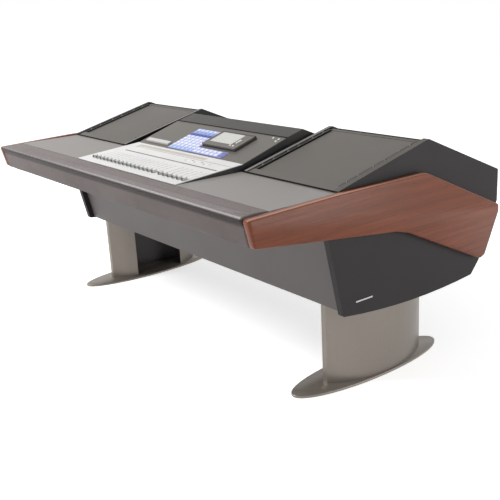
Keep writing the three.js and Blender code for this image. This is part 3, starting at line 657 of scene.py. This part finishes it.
def new_tree(name, inputs):
    """An empty tree with named inputs, given as name: default, and its entry and exit."""
    tree = bpy.data.node_groups.new(name, "GeometryNodeTree")
    tree.interface.new_socket("Geometry", in_out="INPUT", socket_type="NodeSocketGeometry")
    for label, default in inputs.items():
        kind = "NodeSocketVector" if isinstance(default, tuple) else "NodeSocketFloat"
        socket = tree.interface.new_socket(label, in_out="INPUT", socket_type=kind)
        socket.default_value = default
    tree.interface.new_socket("Geometry", in_out="OUTPUT", socket_type="NodeSocketGeometry")
    return tree, tree.nodes.new("NodeGroupInput").outputs, tree.nodes.new("NodeGroupOutput")


def lifted(tree, geometry, height):
    offset = output_of(tree, "ShaderNodeCombineXYZ", {"Z": height})
    return output_of(tree, "GeometryNodeTransform", {"Geometry": geometry, "Translation": offset})


def repeated(tree, entry, exit_node, thing, material):
    """Ends a tree with a thing on each point, turned by the tilt, as real geometry in one material."""
    turn = output_of(tree, "ShaderNodeCombineXYZ", {"X": entry["Tilt"]})
    things = output_of(
        tree, "GeometryNodeInstanceOnPoints",
        {"Points": entry["Geometry"], "Instance": thing, "Rotation": turn},
    )
    real = output_of(tree, "GeometryNodeRealizeInstances", {"Geometry": things})
    painted = output_of(tree, "GeometryNodeSetMaterial", {"Geometry": real, "Material": material})
    tree.links.new(painted, exit_node.inputs["Geometry"])


def grown(name, points, tree, values, material, tones=()):
    """A piece made by a tree over a cloud of points, with the tree's inputs set."""
    seeds = bpy.data.meshes.new(name + "_points")
    seeds.from_pydata([tuple(point) for point in points], [], [])
    if tones:
        seeds.attributes.new("key_tone", "FLOAT", "POINT").data.foreach_set("value", tones)
    carrier = linked(name + "_points", seeds)
    modifier = carrier.modifiers.new("repeat", "NODES")
    modifier.node_group = tree
    for item in tree.interface.items_tree:
        if item.in_out == "INPUT" and item.name in values:
            modifier[item.identifier] = values[item.name]
    graph = bpy.context.evaluated_depsgraph_get()
    mesh = bpy.data.meshes.new_from_object(carrier.evaluated_get(graph), depsgraph=graph)
    mesh.name = name
    bpy.data.objects.remove(carrier)
    return new_piece(name, mesh, material)


def block_tree(name, material):
    """A block with a narrower top on each point: keys, buttons and printed marks."""
    sizes = {"Size": (0.01, 0.01, 0.002), "Top share": 0.86, "Tilt": 0.0}
    tree, entry, exit_node = new_tree(name, sizes)
    cube = output_of(tree, "GeometryNodeMeshCube", {"Size": entry["Size"]})
    seated = lifted(tree, cube, product(tree, parts(tree, entry["Size"])["Z"], 0.5))
    way = parts(tree, output_of(tree, "GeometryNodeInputNormal"))
    upward = 0.9
    is_top = output_of(tree, "FunctionNodeCompare", {0: way["Z"], 1: upward}, operation="GREATER_THAN")
    narrowed = output_of(
        tree, "GeometryNodeScaleElements",
        {"Geometry": seated, "Selection": is_top, "Scale": entry["Top share"]},
    )
    repeated(tree, entry, exit_node, narrowed, material)
    return tree


def screw_tree(name, material):
    """A pan-head screw with a six-sided socket, in a cup washer, on each point, turned to the slope."""
    washer_top, neck, crown_top, socket_low, socket_high = 0.72, 0.93, 0.62, 0.40, 0.30
    skirt_share, crown_share, socket_start = 0.55, 0.45, 0.75
    sizes = {
        "Head radius": 0.004, "Head height": 0.002, "Washer radius": 0.006, "Washer height": 0.001,
        "Recess share": 0.45, "Tilt": 0.0,
    }
    tree, entry, exit_node = new_tree(name, sizes)

    def disc(bottom, top, height, sides=20):
        return output_of(
            tree, "GeometryNodeMeshCone",
            {"Vertices": sides, "Radius Bottom": bottom, "Radius Top": top, "Depth": height},
        )

    def joined(*meshes):
        whole = add_node(tree, "GeometryNodeJoinGeometry")
        for mesh in meshes:
            tree.links.new(mesh, whole.inputs[0])
        return whole.outputs[0]

    def wide(share):
        return product(tree, entry["Head radius"], share)

    def high(share):
        return product(tree, entry["Head height"], share)

    washer_radius, washer_height = entry["Washer radius"], entry["Washer height"]
    washer = disc(washer_radius, product(tree, washer_radius, washer_top), washer_height)
    skirt = disc(entry["Head radius"], wide(neck), high(skirt_share))
    crown = lifted(tree, disc(wide(neck), wide(crown_top), high(crown_share)), high(skirt_share))
    head = output_of(tree, "GeometryNodeMergeByDistance", {"Geometry": joined(skirt, crown)})
    hub = disc(wide(socket_low), wide(socket_high), high(entry["Recess share"]), sides=6)
    cutter = lifted(tree, hub, high(socket_start))
    recessed = output_of(tree, "GeometryNodeMeshBoolean", {0: head, 1: cutter}, operation="DIFFERENCE")
    whole = joined(washer, lifted(tree, recessed, washer_height))
    repeated(tree, entry, exit_node, whole, material)
    return tree


def tilt_of(matrix):
    """The turn about X that lays a flat thing on a sloped face."""
    return math.atan2(matrix[2][1], matrix[1][1])


def laid(matrix, places):
    """Points on a sloped face, from their places on it."""
    return [matrix @ Vector((*place, 0)) for place in places]


def blocks(name, matrix, points, size, top_share, material, tones=()):
    """A piece of equal blocks on a sloped face, each with its own tone where tones are given."""
    values = {"Size": size, "Top share": top_share, "Tilt": tilt_of(matrix)}
    return grown(name, points, block_tree(name, material), values, material, tones)


# Armrest
def rounded(start, corner, end, radius, steps):
    """Points of a corner's rounding between two straight stretches."""
    before, after = (start - corner).normalized(), (end - corner).normalized()
    half = before.angle(after) / 2
    reach = radius / math.tan(half)
    first, last = corner + before * reach, corner + after * reach
    middle = corner + (before + after).normalized() * (radius / math.sin(half))
    return [
        middle + (first - middle).lerp(last - middle, step / steps).normalized() * radius
        for step in range(steps + 1)
    ]


def cushion_rows(sizes):
    """Sections of the armrest's cushion across the desk: a crowned top, a soft nose, and a front that
    leans in."""
    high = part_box("armrest_pad")[1]
    desktop_low, desktop_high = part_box("left_desktop")
    thick = desktop_high.z - desktop_low.z
    rear, nose, foot = (corner.yz for corner in board_corners())
    lean = (foot - nose).normalized()
    out = Vector((lean.y, -lean.x))
    rear_round, rear_steps, top_steps, roll_steps, front_steps, end_steps = 2.5 * MM, 3, 15, 14, 12, 7
    roll_turn, front_start, front_pitch, foot_bead = 9, 0.03, 0.067, 0.35
    # Share of the way from the nose to the foot, and share of the bead's full depth
    bead_shape = (
        (0.87, 0.88), (0.89, 0.86), (0.91, 0.90), (0.935, 0.93), (0.96, 0.88), (0.985, 0.68),
    )

    def section(fullness):
        depth, roll = thick * fullness, sizes.roll * fullness
        crown, front, bead = sizes.crown * fullness, (thick - sizes.cove) * fullness, sizes.lip * fullness
        top_rear = rear + Vector((0, depth))
        outline = rounded(
            rear, top_rear, top_rear - Vector((thick, 0)), rear_round * fullness, rear_steps
        )
        start = outline[-1]
        middle = nose + Vector((roll - depth, depth - roll))
        for step in range(1, top_steps):
            point = start.lerp(middle + Vector((0, roll)), step / top_steps)
            outline.append(point + Vector((0, crown * math.sin(math.pi * step / top_steps))))
        for step in range(roll_steps + 1):
            angle = math.radians(90 + roll_turn * step)
            outline.append(middle + Vector((math.cos(angle), math.sin(angle))) * roll)
        for step in range(front_steps + 1):
            bulge = crown / 2 * math.sin(math.pi * step / front_steps)
            outline.append(nose.lerp(foot, front_start + front_pitch * step) + out * (front + bulge))
        outline += [nose.lerp(foot, share) + out * bead * deep for share, deep in bead_shape]
        return outline + [
            foot + out * bead * foot_bead, foot, foot.lerp(nose, 0.5), nose, nose.lerp(rear, 0.5), rear,
        ]

    half = high.x
    inner = half - sizes.end_round
    turns = [step / end_steps * math.pi / 2 for step in range(end_steps + 1)]
    places = [
        (-half + sizes.end_round * (1 - math.cos(turn)), 0.5 + 0.5 * math.sin(turn)) for turn in turns
    ]
    count = round(2 * inner / sizes.station)
    places += [(-inner + 2 * inner * step / count, 1.0) for step in range(1, count)]
    places += [(-x, fullness) for x, fullness in reversed(places[: end_steps + 1])]
    return [[Vector((x, y, z)) for y, z in section(fullness)] for x, fullness in places]


def board_corners():
    """The line that the cushion lies on, across the armrest board: rear edge, nose and foot."""
    low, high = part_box("armrest_pad")
    under, foot_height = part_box("left_desktop")[0].z, 2 * MM
    foot_y = max(
        v.co.y for v in NODES["armrest_pad"].data.vertices if abs(v.co.z - low.z) < foot_height
    )
    return (
        Vector((0, high.y, under)), Vector((0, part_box("armrest_board")[0].y, under)),
        Vector((0, foot_y, low.z)),
    )


def swollen(piece, sizes, corners):
    """Lets the cover swell over its foam, within the given reach and held where it lies on the board."""
    rest = [v.co.copy() for v in piece.data.vertices]
    held = piece.vertex_groups.new(name="held")
    runs, touching = tuple(zip(corners, corners[1:])), 0.5 * MM

    def gap(co):
        """How far a point is from the line that the cushion lies on"""
        point = Vector((0, co.y, co.z))
        shares = [geometry.intersect_point_line(point, *run)[1] for run in runs]
        return min(
            (point - start.lerp(end, min(max(share, 0), 1))).length
            for (start, end), share in zip(runs, shares)
        )

    held.add([index for index, co in enumerate(rest) if gap(co) < touching], 1.0, "REPLACE")
    cover = piece.modifiers.new("cover", "CLOTH")
    cloth = cover.settings
    cloth.vertex_group_mass = held.name
    cloth.use_pressure = True
    cloth.uniform_pressure_force = sizes.pressure
    cloth.effector_weights.gravity = 0
    cloth.tension_stiffness = cloth.compression_stiffness = 25
    cloth.bending_stiffness = 2
    cloth.quality = 5
    cover.collision_settings.use_collision = False
    cover.point_cache.frame_end = sizes.steps
    scene = bpy.context.scene
    for step in range(1, sizes.steps + 1):
        scene.frame_set(step)
    graph = bpy.context.evaluated_depsgraph_get()
    settled = [v.co.copy() for v in piece.evaluated_get(graph).data.vertices]
    piece.modifiers.remove(cover)
    piece.vertex_groups.remove(held)
    scene.frame_set(1)
    low_y, top_z = min(co.y for co in rest), max(co.z for co in rest)
    half = max(co.x for co in rest)
    nose_still, nose_fade, end_still, end_fade = 16 * MM, 30 * MM, 15 * MM, 60 * MM

    def freedom(co):
        """Full on the broad faces, and none at the nose and at the two ends"""
        from_nose = max(abs(co.y - low_y), abs(co.z - top_z)) - nose_still
        from_end = half - abs(co.x) - end_still
        return min(max(from_nose / nose_fade, 0), 1) * min(max(from_end / end_fade, 0), 1)

    for vertex, before, after in zip(piece.data.vertices, rest, settled):
        move = after - before
        if move.length > sizes.swell:
            move *= sizes.swell / move.length
        vertex.co = before + move * freedom(before)
    piece.data.update()


def creased(mesh, reach):
    """Gives the cover faint long hollows and crossways tension lines."""
    hollow_x, hollow_yz, hollow_share, line_x, line_yz, line_share, shift = 3.1, 9, 0.6, 26, 5, 0.4, 4
    for vertex in mesh.vertices:
        co = vertex.co
        hollow = noise.noise(Vector((co.x * hollow_x, co.y * hollow_yz, co.z * hollow_yz)))
        line = noise.noise(Vector((co.x * line_x, co.y * line_yz, co.z * line_yz + shift)))
        vertex.co = co + vertex.normal * (reach * (hollow_share * hollow + line_share * line))


# Operators
class DeskOperator:
    """What all steps of the desk share"""

    bl_options = {"REGISTER"}


class STUDIO_OT_wood_ends(DeskOperator, bpy.types.Operator):
    """Finish the two wood ends in veneer"""

    bl_idname = "studio_desk.wood_ends"
    bl_label = "Wood ends"

    def execute(self, context):
        finishes = settings().finishes
        veneer = wood_finish("veneer", finishes.wood_light, finishes.wood_dark, finishes.wood_edge_highlight)
        dressed(pair("wood_end"), veneer, angle=50)
        return {"FINISHED"}


class STUDIO_OT_boards(DeskOperator, bpy.types.Operator):
    """Finish the laminate boards of the work surface, the modules and the cabinet"""

    bl_idname = "studio_desk.boards"
    bl_label = "Boards"

    def execute(self, context):
        finishes = settings().finishes
        board = self.board
        board("worktop", finishes.worktop, pair("desktop"), 0.46)
        board("slope", finishes.slope, pair("module_front") + pair("rack_cover"))
        board("apron", finishes.apron, ["apron_panel", "cabinet_floor"], 0.52, 0.08)
        board("tray", finishes.tray, ["armrest_board", "tray_floor"], 0.52, 0.08)
        board("cover", finishes.cover, ["bridge_housing"], bevel=1.2, gloss=0.35)
        board(
            "ridge", finishes.cover, pair("rear_cover"), bevel=1.2, gloss=0.35,
            level_edge=finishes.cover, slope_edge=finishes.slope,
        )
        # The cheeks: black faces, and a painted highlight on their sloped edges
        board(
            "cheek", finishes.edge_band, pair("inner_cheek"), 0.5, 0.08, 1.5, 3, gloss=0.3,
            level_edge=finishes.worktop, slope_edge=finishes.cheek_edge_highlight,
        )
        # Painted shade: the left panel's sloped edge keeps the dark side colour, while the right one takes
        # the lighter slope colour
        sides = [
            board(
                f"{side}_side", finishes.charcoal, [f"{side}_side_panel"], 0.52, 0.08, 1.5, 3, gloss=0.20,
                level_edge=finishes.worktop, slope_edge=slope_edge,
            )
            for side, slope_edge in zip(SIDES, (finishes.charcoal, finishes.slope))
        ]
        dressed(["back_panel", "mixer_shelf"], sides[0], 0.8 * MM)
        return {"FINISHED"}

    @staticmethod
    def board(name, colour, nodes, roughness=0.5, contrast=0.10, bevel=0.8, segments=2, **options):
        laminate = laminate_finish(f"{name}_laminate", colour, roughness, contrast, **options)
        dressed(nodes, laminate, bevel * MM, segments=segments)
        return laminate


class STUDIO_OT_edge_bands(DeskOperator, bpy.types.Operator):
    """Lay the black bands on the modules' front lips and ridges"""

    bl_idname = "studio_desk.edge_bands"
    bl_label = "Edge bands"

    def execute(self, context):
        black = laminate_finish("edge_band", settings().finishes.edge_band, 0.6, 0.1, gloss=0.15)
        for side in SIDES:
            self.lip(side, black)
            self.ridge(side, black)
        self.seal(black)
        return {"FINISHED"}

    def lip(self, side, material):
        """A thin black band on the front of a module, over the board and the ends of its two cheeks; its
        black stands in partly for the shadow line along that edge
        """
        cheek_low, cheek_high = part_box(f"{side}_inner_cheek")
        board_low, board_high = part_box(f"{side}_module_front")
        thick, edge, joint, gap, rise = 1.6 * MM, 0.4 * MM, 0.05 * MM, 0.2 * MM, 1.2 * MM
        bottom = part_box(f"{side}_desktop")[1].z + gap
        top = top_plane(f"{side}_module_front")[0].translation.z + rise
        back, front = cheek_low.y - joint, cheek_low.y - thick
        outline = [
            (back, bottom), (back, top), (front + edge, top), (front, top - edge),
            (front, bottom + edge), (front + edge, bottom),
        ]
        ends = (min(cheek_low.x, board_low.x), max(cheek_high.x, board_high.x))
        extruded(f"{side}_lip_band", outline, ends, material, 30)

    def ridge(self, side, material):
        """A narrow rounded bead along the ridge of a rear cover"""
        radius, sunk = 3.2 * MM, 0.8 * MM
        low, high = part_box(f"{side}_rear_cover")
        crest = max((v.co for v in NODES[f"{side}_rear_cover"].data.vertices), key=lambda co: co.z)
        self.bead(f"{side}_ridge_bead", low.x, high.x, crest.y, crest.z - sunk, radius, material)

    def seal(self, material):
        """A black rubber seal in the joint between the control deck and the bridge; its black stands in
        partly for the joint's shadow
        """
        radius, behind, rise = 3.0 * MM, 0.2 * MM, 0.4 * MM
        low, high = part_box("control_deck")
        self.bead("bridge_seal", low.x, high.x, high.y + behind, high.z + rise, radius, material)

    def bead(self, name, left, right, y, z, radius, material):
        steps, clearance = 8, 0.2 * MM
        turns = [math.pi * step / steps for step in range(steps + 1)]
        outline = [(y + radius * math.cos(turn), z + radius * math.sin(turn)) for turn in turns]
        extruded(name, outline, (left + clearance, right - clearance), material, 40)


class STUDIO_OT_armrest(DeskOperator, bpy.types.Operator):
    """Make the armrest's cushion in grained vinyl"""

    bl_idname = "studio_desk.armrest"
    bl_label = "Armrest"

    def execute(self, context):
        sizes, finishes = settings().armrest, settings().finishes
        # The armrest's vinyl, with its painted sheen, painted nose highlight and painted fold shadow
        vinyl = vinyl_finish("armrest_vinyl", finishes.vinyl, finishes.vinyl_nose_highlight)
        piece = lofted("armrest_cushion", cushion_rows(sizes), vinyl)
        swollen(piece, sizes, board_corners())
        crease_depth = 0.35 * MM
        creased(piece.data, crease_depth)
        smoother = piece.modifiers.new("smoother", "SUBSURF")
        smoother.levels = smoother.render_levels = 1
        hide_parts("armrest_pad")
        return {"FINISHED"}


class STUDIO_OT_rack_fittings(DeskOperator, bpy.types.Operator):
    """Finish the rack rails and set the screws in their washers"""

    bl_idname = "studio_desk.rack_fittings"
    bl_label = "Rack rails and screws"

    def execute(self, context):
        sizes = settings().fasteners
        rails = [f"{side}_{place}_rail" for side in SIDES for place in ("inner", "outer")]
        dressed(rails, paint_finish("rail_paint", (0.012, 0.012, 0.013), 0.42, 0.3), 0.3 * MM)
        steel = brushed_finish("screw_steel", (0.115, 0.11, 0.107), 0.42)
        tree = screw_tree("rack_screws", steel)
        for side in SIDES:
            points = []
            for place in ("inner", "outer"):
                matrix, (width, run) = top_plane(f"{side}_{place}_rail")
                opening_left = (side == "left") == (place == "outer")
                x = width - sizes.setback if opening_left else sizes.setback
                for step in range(int(run // sizes.step)):
                    first = sizes.first_row + step * sizes.step
                    points += laid(matrix, [(x, first), (x, first + sizes.row_gap)])
            values = {
                "Head radius": sizes.head_radius, "Head height": sizes.head_height,
                "Washer radius": sizes.washer_radius, "Washer height": sizes.washer_height,
                "Tilt": tilt_of(matrix),
            }
            grown(f"{side}_rack_screws", points, tree, values, steel)
        return {"FINISHED"}


class STUDIO_OT_legs(DeskOperator, bpy.types.Operator):
    """Finish the legs, their base plates and the metal bar"""

    bl_idname = "studio_desk.legs"
    bl_label = "Legs and bases"

    def execute(self, context):
        finishes = settings().finishes
        low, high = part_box("right_leg")
        # A darker colour inside the leg shells, partly painted shade
        inside_shade = shade(finishes.charcoal, 1.8)
        shell = lacquer_finish("leg_lacquer", finishes.lacquer, (low.x + high.x) / 2, inside_shade)
        dressed(pair("leg"), shell, 0.6 * MM, angle=35)
        plate = lacquer_finish("base_lacquer", finishes.lacquer, 0, finishes.lacquer)
        dressed(pair("base"), plate, angle=50)
        dressed(["badge_bar"], brushed_finish("bright_bar", (0.42, 0.42, 0.42), 0.26), 0.4 * MM)
        return {"FINISHED"}


class STUDIO_OT_console(DeskOperator, bpy.types.Operator):
    """Finish the console's case, decks, faders and display"""

    bl_idname = "studio_desk.console"
    bl_label = "Console"

    def execute(self, context):
        finishes = settings().finishes
        case = (0.022, 0.022, 0.024)
        faders = [name for name in NODES if "_fader_" in name]
        strip = shade(finishes.deck_white, 0.78)
        for nodes, finish, bevel in (
            (["mixer_chassis"], paint_finish("console_black", case, 0.42), 0.6),
            (["display_housing"], housing_finish("display_case", case, finishes.deck_grey), 0.6),
            (["fader_deck"], paint_finish("deck_white", finishes.deck_white, 0.48, texture=0.1), 0.4),
            (["strip_holder"], paint_finish("strip_white", strip, 0.5, texture=0.1), 0.4),
            (["control_deck"], paint_finish("deck_grey", finishes.deck_grey, 0.45, texture=0.12), 0.4),
            (["display_screen"], screen_finish("screen", (0.53, 0.53, 0.49)), 0.3),
            (faders, cap_finish("fader_caps", (0.58, 0.58, 0.57), (0.07, 0.07, 0.072)), 0.5),
        ):
            dressed(nodes, finish, bevel * MM)
        matrix = top_plane("fader_deck")[0]
        self.deck_print(matrix, faders)
        self.deck_buttons(matrix)
        return {"FINISHED"}

    def deck_print(self, matrix, faders):
        """The scale marks beside the slots, and the bands across the deck"""
        sizes = settings().console
        travel = frame["joints"][0]["range_m"][1]
        inverse = matrix.inverted()
        middles = ((low + high) / 2 for low, high in map(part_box, faders))
        columns = sorted((inverse @ middle)[:2] for middle in middles)
        places = [
            (x + side * sizes.mark_width, y + travel * mark / (sizes.scale_marks - 1))
            for x, y in columns for mark in range(sizes.scale_marks) for side in (-1, 1)
        ]
        ink = paint_finish("deck_print", (0.26, 0.26, 0.255), 0.5)
        size = (sizes.mark_width, sizes.mark_depth, sizes.print_height)
        blocks("fader_scales", matrix, laid(matrix, places), size, 0.95, ink)
        # Each band's middle on the deck, its width and depth, and its tone
        bands = (
            ("upper_deck_band", (0.437, 0.197), (0.714, 0.0085), (0.12, 0.12, 0.12)),
            ("rear_deck_band", (0.430, 0.260), (0.741, 0.0045), (0.38, 0.37, 0.36)),
            ("warm_deck_field", (0.330, 0.281), (0.540, 0.024), (0.52, 0.48, 0.42)),
        )
        for name, place, extent, tone in bands:
            paint = paint_finish(name, tone, 0.5, texture=0.1)
            size = (*extent, sizes.print_height)
            blocks(name, matrix, laid(matrix, [place]), size, 0.99, paint)

    def deck_buttons(self, matrix):
        """Small keys in two rows on the rear half of the fader deck, right of its middle"""
        sizes = settings().console
        start_x, start_y = 0.527, 0.230
        pitch_x, pitch_y = 1.25 * sizes.button_width, 1.6 * sizes.button_depth
        cells = [(column, row) for column in range(sizes.button_columns) for row in range(2)]
        places = [(start_x + column * pitch_x, start_y + row * pitch_y) for column, row in cells]
        tones = [0.25 if (column + row * 2) % 5 == 0 else 0.95 for column, row in cells]
        rubber = key_finish("button_rubber", (0.86, 0.86, 0.84), (0.30, 0.31, 0.33))
        size = (sizes.button_width, sizes.button_depth, sizes.button_height)
        blocks("deck_keys", matrix, laid(matrix, places), size, 0.8, rubber, tones)


class STUDIO_OT_keypad(DeskOperator, bpy.types.Operator):
    """Make the console's key mat, its keys and the small controls beside the screen"""

    bl_idname = "studio_desk.keypad"
    bl_label = "Keypad"

    def execute(self, context):
        finishes, sizes = settings().finishes, settings().console
        matrix, (deck_width, _) = top_plane("control_deck")
        pitch = sizes.key_width + sizes.key_gap, sizes.key_depth + sizes.key_gap
        banks = self.banks(matrix.inverted(), *pitch, 2 * sizes.key_border - sizes.key_gap)
        self.keys(matrix, finishes, sizes, pitch, banks)
        self.mat(matrix, finishes, banks)
        self.small_controls(matrix, deck_width)
        return {"FINISHED"}

    def banks(self, to_deck, pitch_x, pitch_y, edge):
        """The near left and far right corners, columns and rows of both banks, read from the solid's
        outline on the deck"""
        points = [to_deck @ v.co for v in NODES["control_keypad"].data.vertices]
        left, near = min(p.x for p in points), min(p.y for p in points)
        right, far = max(p.x for p in points), max(p.y for p in points)
        rear_right = max(p.x for p in points if p.y > far - pitch_y)
        front_far = max(p.y for p in points if p.x > right - pitch_x)
        front_columns = round((right - rear_right) / pitch_x)
        front_left = right - (front_columns * pitch_x + edge)
        banks = (
            (left, round((rear_right - left - edge) / pitch_x), round((far - near - edge) / pitch_y)),
            (front_left, front_columns, round((front_far - near - edge) / pitch_y)),
        )
        return [
            (start, near, start + columns * pitch_x + edge, near + rows * pitch_y + edge, columns, rows)
            for start, columns, rows in banks
        ]

    def keys(self, matrix, finishes, sizes, pitch, banks):
        """Pale keys in most rows of the rear bank, sky blue ones in its near row and deep ones in the sixth
        row after it, and a front bank that is pale on the left and deep on the right"""
        rear_tones = (0.52, 0.86, 1.0, 0.94, 1.0, 0.88, 0.0, 0.33, 0.78)
        pale_reach, seat, sunk = 0.61, 1.5 * MM, 0.5 * MM
        points, tones = [], []
        for left, near, _, _, columns, rows in banks:
            for column in range(columns):
                x = left + sizes.key_border + sizes.key_width / 2 + column * pitch[0]
                front_tone = 0.95 if x < pale_reach else 0.10
                for row in range(rows):
                    y = near + sizes.key_border + sizes.key_depth / 2 + row * pitch[1]
                    points.append(matrix @ Vector((x, y, seat)))
                    tones.append(rear_tones[row] if rows > 3 else front_tone)
        rubber = key_finish("key_rubber", finishes.key_pale, finishes.key_blue, finishes.key_sky)
        size = (sizes.key_width, sizes.key_depth, sizes.key_height + sunk)
        blocks("keypad_keys", matrix, points, size, 0.9, rubber, tones)

    def mat(self, matrix, finishes, banks):
        """The mat under both banks, as two overlapping rounded sheets, the second a little higher and set
        back a little from the first one's near edge"""
        blue = key_finish("key_mat", finishes.key_pale, finishes.key_mat)
        under, thick, corner, steps, rise, setback = 0.1 * MM, 1.8 * MM, 4 * MM, 6, 0.1 * MM, 0.15 * MM
        for number, (left, near, right, far, _, _) in enumerate(banks):
            near += number * setback
            corners = (
                (right - corner, far - corner), (left + corner, far - corner),
                (left + corner, near + corner), (right - corner, near + corner),
            )
            outline = [
                (x + corner * math.cos(turn), y + corner * math.sin(turn))
                for quarter, (x, y) in enumerate(corners)
                for turn in ((quarter + step / steps) * math.pi / 2 for step in range(steps + 1))
            ]
            heights = (under, thick + number * rise)
            rows = [[matrix @ Vector((x, y, z)) for x, y in outline] for z in heights]
            piece = lofted(("rear_key_mat", "front_key_mat")[number], rows, blue, 40)
            if number == 0:
                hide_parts("control_keypad")

    def small_controls(self, matrix, deck_width):
        """Small buttons right of the screen and three by the deck's rear right corner"""
        by_screen = ((183, 19), (203, 19), (195, 46), (195, 57), (196, 67))
        by_corner = ((-63, 214), (-24, 210), (-22, 192))
        top = top_plane("display_housing")[0]
        points = laid(top, [(x * MM, y * MM) for x, y in by_screen])
        points += laid(matrix, [(deck_width + x * MM, y * MM) for x, y in by_corner])
        rubber = key_finish("small_buttons", (0.80, 0.80, 0.78), (0.25, 0.25, 0.26))
        size, tones = (11 * MM, 8 * MM, 3 * MM), [0.9] * len(points)
        blocks("small_buttons", matrix, points, size, 0.8, rubber, tones)


class STUDIO_OT_stage(DeskOperator, bpy.types.Operator):
    """Set the camera, the lamps, the room light and the pale floor"""

    bl_idname = "studio_desk.stage"
    bl_label = "Stage"

    def execute(self, context):
        scene, sizes = context.scene, settings().stage
        scene.view_settings.view_transform = "Standard"
        self.camera(scene, sizes)
        self.lamps(sizes)
        self.room(scene, sizes)
        self.floor()
        return {"FINISHED"}

    def camera(self, scene, sizes):
        azimuth, elevation, roll = sizes.azimuth, sizes.elevation, sizes.roll
        forward = Vector((
            -math.sin(azimuth) * math.cos(elevation),
            math.cos(azimuth) * math.cos(elevation),
            -math.sin(elevation),
        ))
        level_right = Vector((math.cos(azimuth), math.sin(azimuth), 0))
        level_up = level_right.cross(forward)
        right = level_right * math.cos(roll) + level_up * math.sin(roll)
        up = level_up * math.cos(roll) - level_right * math.sin(roll)
        data = bpy.data.cameras.new("camera")
        data.lens = sizes.lens
        data.sensor_width = SENSOR_WIDTH
        matrix = Matrix((right, up, -forward)).transposed().to_4x4()
        matrix.translation = Vector(sizes.place)
        scene.camera = linked("camera", data)
        scene.camera.matrix_world = matrix

    def lamps(self, sizes):
        """A large soft key lamp from the user's side and above, and a weak one from the right"""
        aim, width, side_share = Vector((0, 0, 0.5)), 2.4, 0.15
        places = (
            ("key_lamp", Vector((-3.0, -4.9, 5.6)), sizes.key_power),
            ("side_lamp", Vector((4.8, 2.4, 1.3)), sizes.key_power * side_share),
        )
        for name, place, power in places:
            data = bpy.data.lights.new(name, "AREA")
            data.shape = "DISK"
            data.size = width
            data.energy = power
            lamp = linked(name, data)
            lamp.location = place
            lamp.rotation_euler = (aim - place).to_track_quat("-Z", "Y").to_euler()

    def room(self, scene, sizes):
        """White for the camera and for reflections, and a softer level as light"""
        scene.world = bpy.data.worlds.new("room")
        scene.world.use_nodes = True
        tree = scene.world.node_tree
        tree.nodes.clear()
        strength = remapped(tree, self.seen(tree), 0, 1, sizes.fill, 1.0)
        background = output_of(
            tree, "ShaderNodeBackground", {"Color": (1, 1, 1, 1), "Strength": strength}
        )
        add_node(tree, "ShaderNodeOutputWorld", {"Surface": background})

    def seen(self, tree):
        """One for what the camera sees, directly, mirrored or through glass, and nought for light on the
        object"""
        path = tree.nodes.new("ShaderNodeLightPath").outputs
        mirrored = worked(tree, "MAXIMUM", path["Is Camera Ray"], path["Is Glossy Ray"])
        return worked(tree, "MAXIMUM", mirrored, path["Is Transmission Ray"])

    def floor(self):
        """A wide pale disc under the bases, with a glow that only the camera and reflections see"""
        radius, drop, glow_strength = 14, 0.5 * MM, 0.58
        shape = bmesh.new()
        bmesh.ops.create_circle(shape, cap_ends=True, segments=96, radius=radius)
        mesh = bpy.data.meshes.new("floor")
        shape.to_mesh(mesh)
        shape.free()
        floor = linked("floor", mesh)
        floor.location.z = -drop
        material, tree, shader = new_finish("pale_floor", Roughness=0.7, Specular_IOR_Level=0.1)
        tone = grains(tree, placed(tree), 1.5, detail=2)
        pale = blended(tree, spread(tree, tone), (0.92, 0.92, 0.92), (0.94, 0.94, 0.94))
        tree.links.new(pale, shader.inputs["Base Color"])
        strength = product(tree, self.seen(tree), glow_strength)
        glow = output_of(tree, "ShaderNodeEmission", {"Color": (1, 1, 1, 1), "Strength": strength})
        both = output_of(tree, "ShaderNodeAddShader", {0: shader.outputs[0], 1: glow})
        output = next(node for node in tree.nodes if node.type == "OUTPUT_MATERIAL")
        tree.links.new(both, output.inputs["Surface"])
        floor.data.materials.append(material)


class STUDIO_PT_desk(bpy.types.Panel):
    """The desk's settings and steps"""

    bl_idname = "STUDIO_PT_desk"
    bl_label = "Studio Desk"
    bl_space_type = "VIEW_3D"
    bl_region_type = "UI"
    bl_category = "Studio Desk"

    def draw(self, context):
        layout = self.layout
        for group in (settings().finishes, settings().armrest, settings().fasteners,
                      settings().console, settings().stage):
            box = layout.box()
            for name in group.__annotations__:
                box.prop(group, name)
        for operator in STEPS:
            layout.operator(operator.bl_idname)


STEPS = (
    STUDIO_OT_stage,
    STUDIO_OT_wood_ends,
    STUDIO_OT_boards,
    STUDIO_OT_edge_bands,
    STUDIO_OT_armrest,
    STUDIO_OT_rack_fittings,
    STUDIO_OT_legs,
    STUDIO_OT_console,
    STUDIO_OT_keypad,
)
GROUPS = (DeskFinishes, ArmrestSizes, FastenerSizes, ConsoleSizes, StageSizes, StudioDeskSettings)


def register():
    for group in (*GROUPS, *STEPS, STUDIO_PT_desk):
        bpy.utils.register_class(group)
    bpy.types.Scene.studio_desk = PointerProperty(type=StudioDeskSettings)


def unregister():
    del bpy.types.Scene.studio_desk
    for group in reversed((*GROUPS, *STEPS, STUDIO_PT_desk)):
        bpy.utils.unregister_class(group)


def main():
    register()
    for operator in STEPS:
        prefix, name = operator.bl_idname.split(".")
        getattr(getattr(bpy.ops, prefix), name)()


if __name__ == "__main__":
    main()
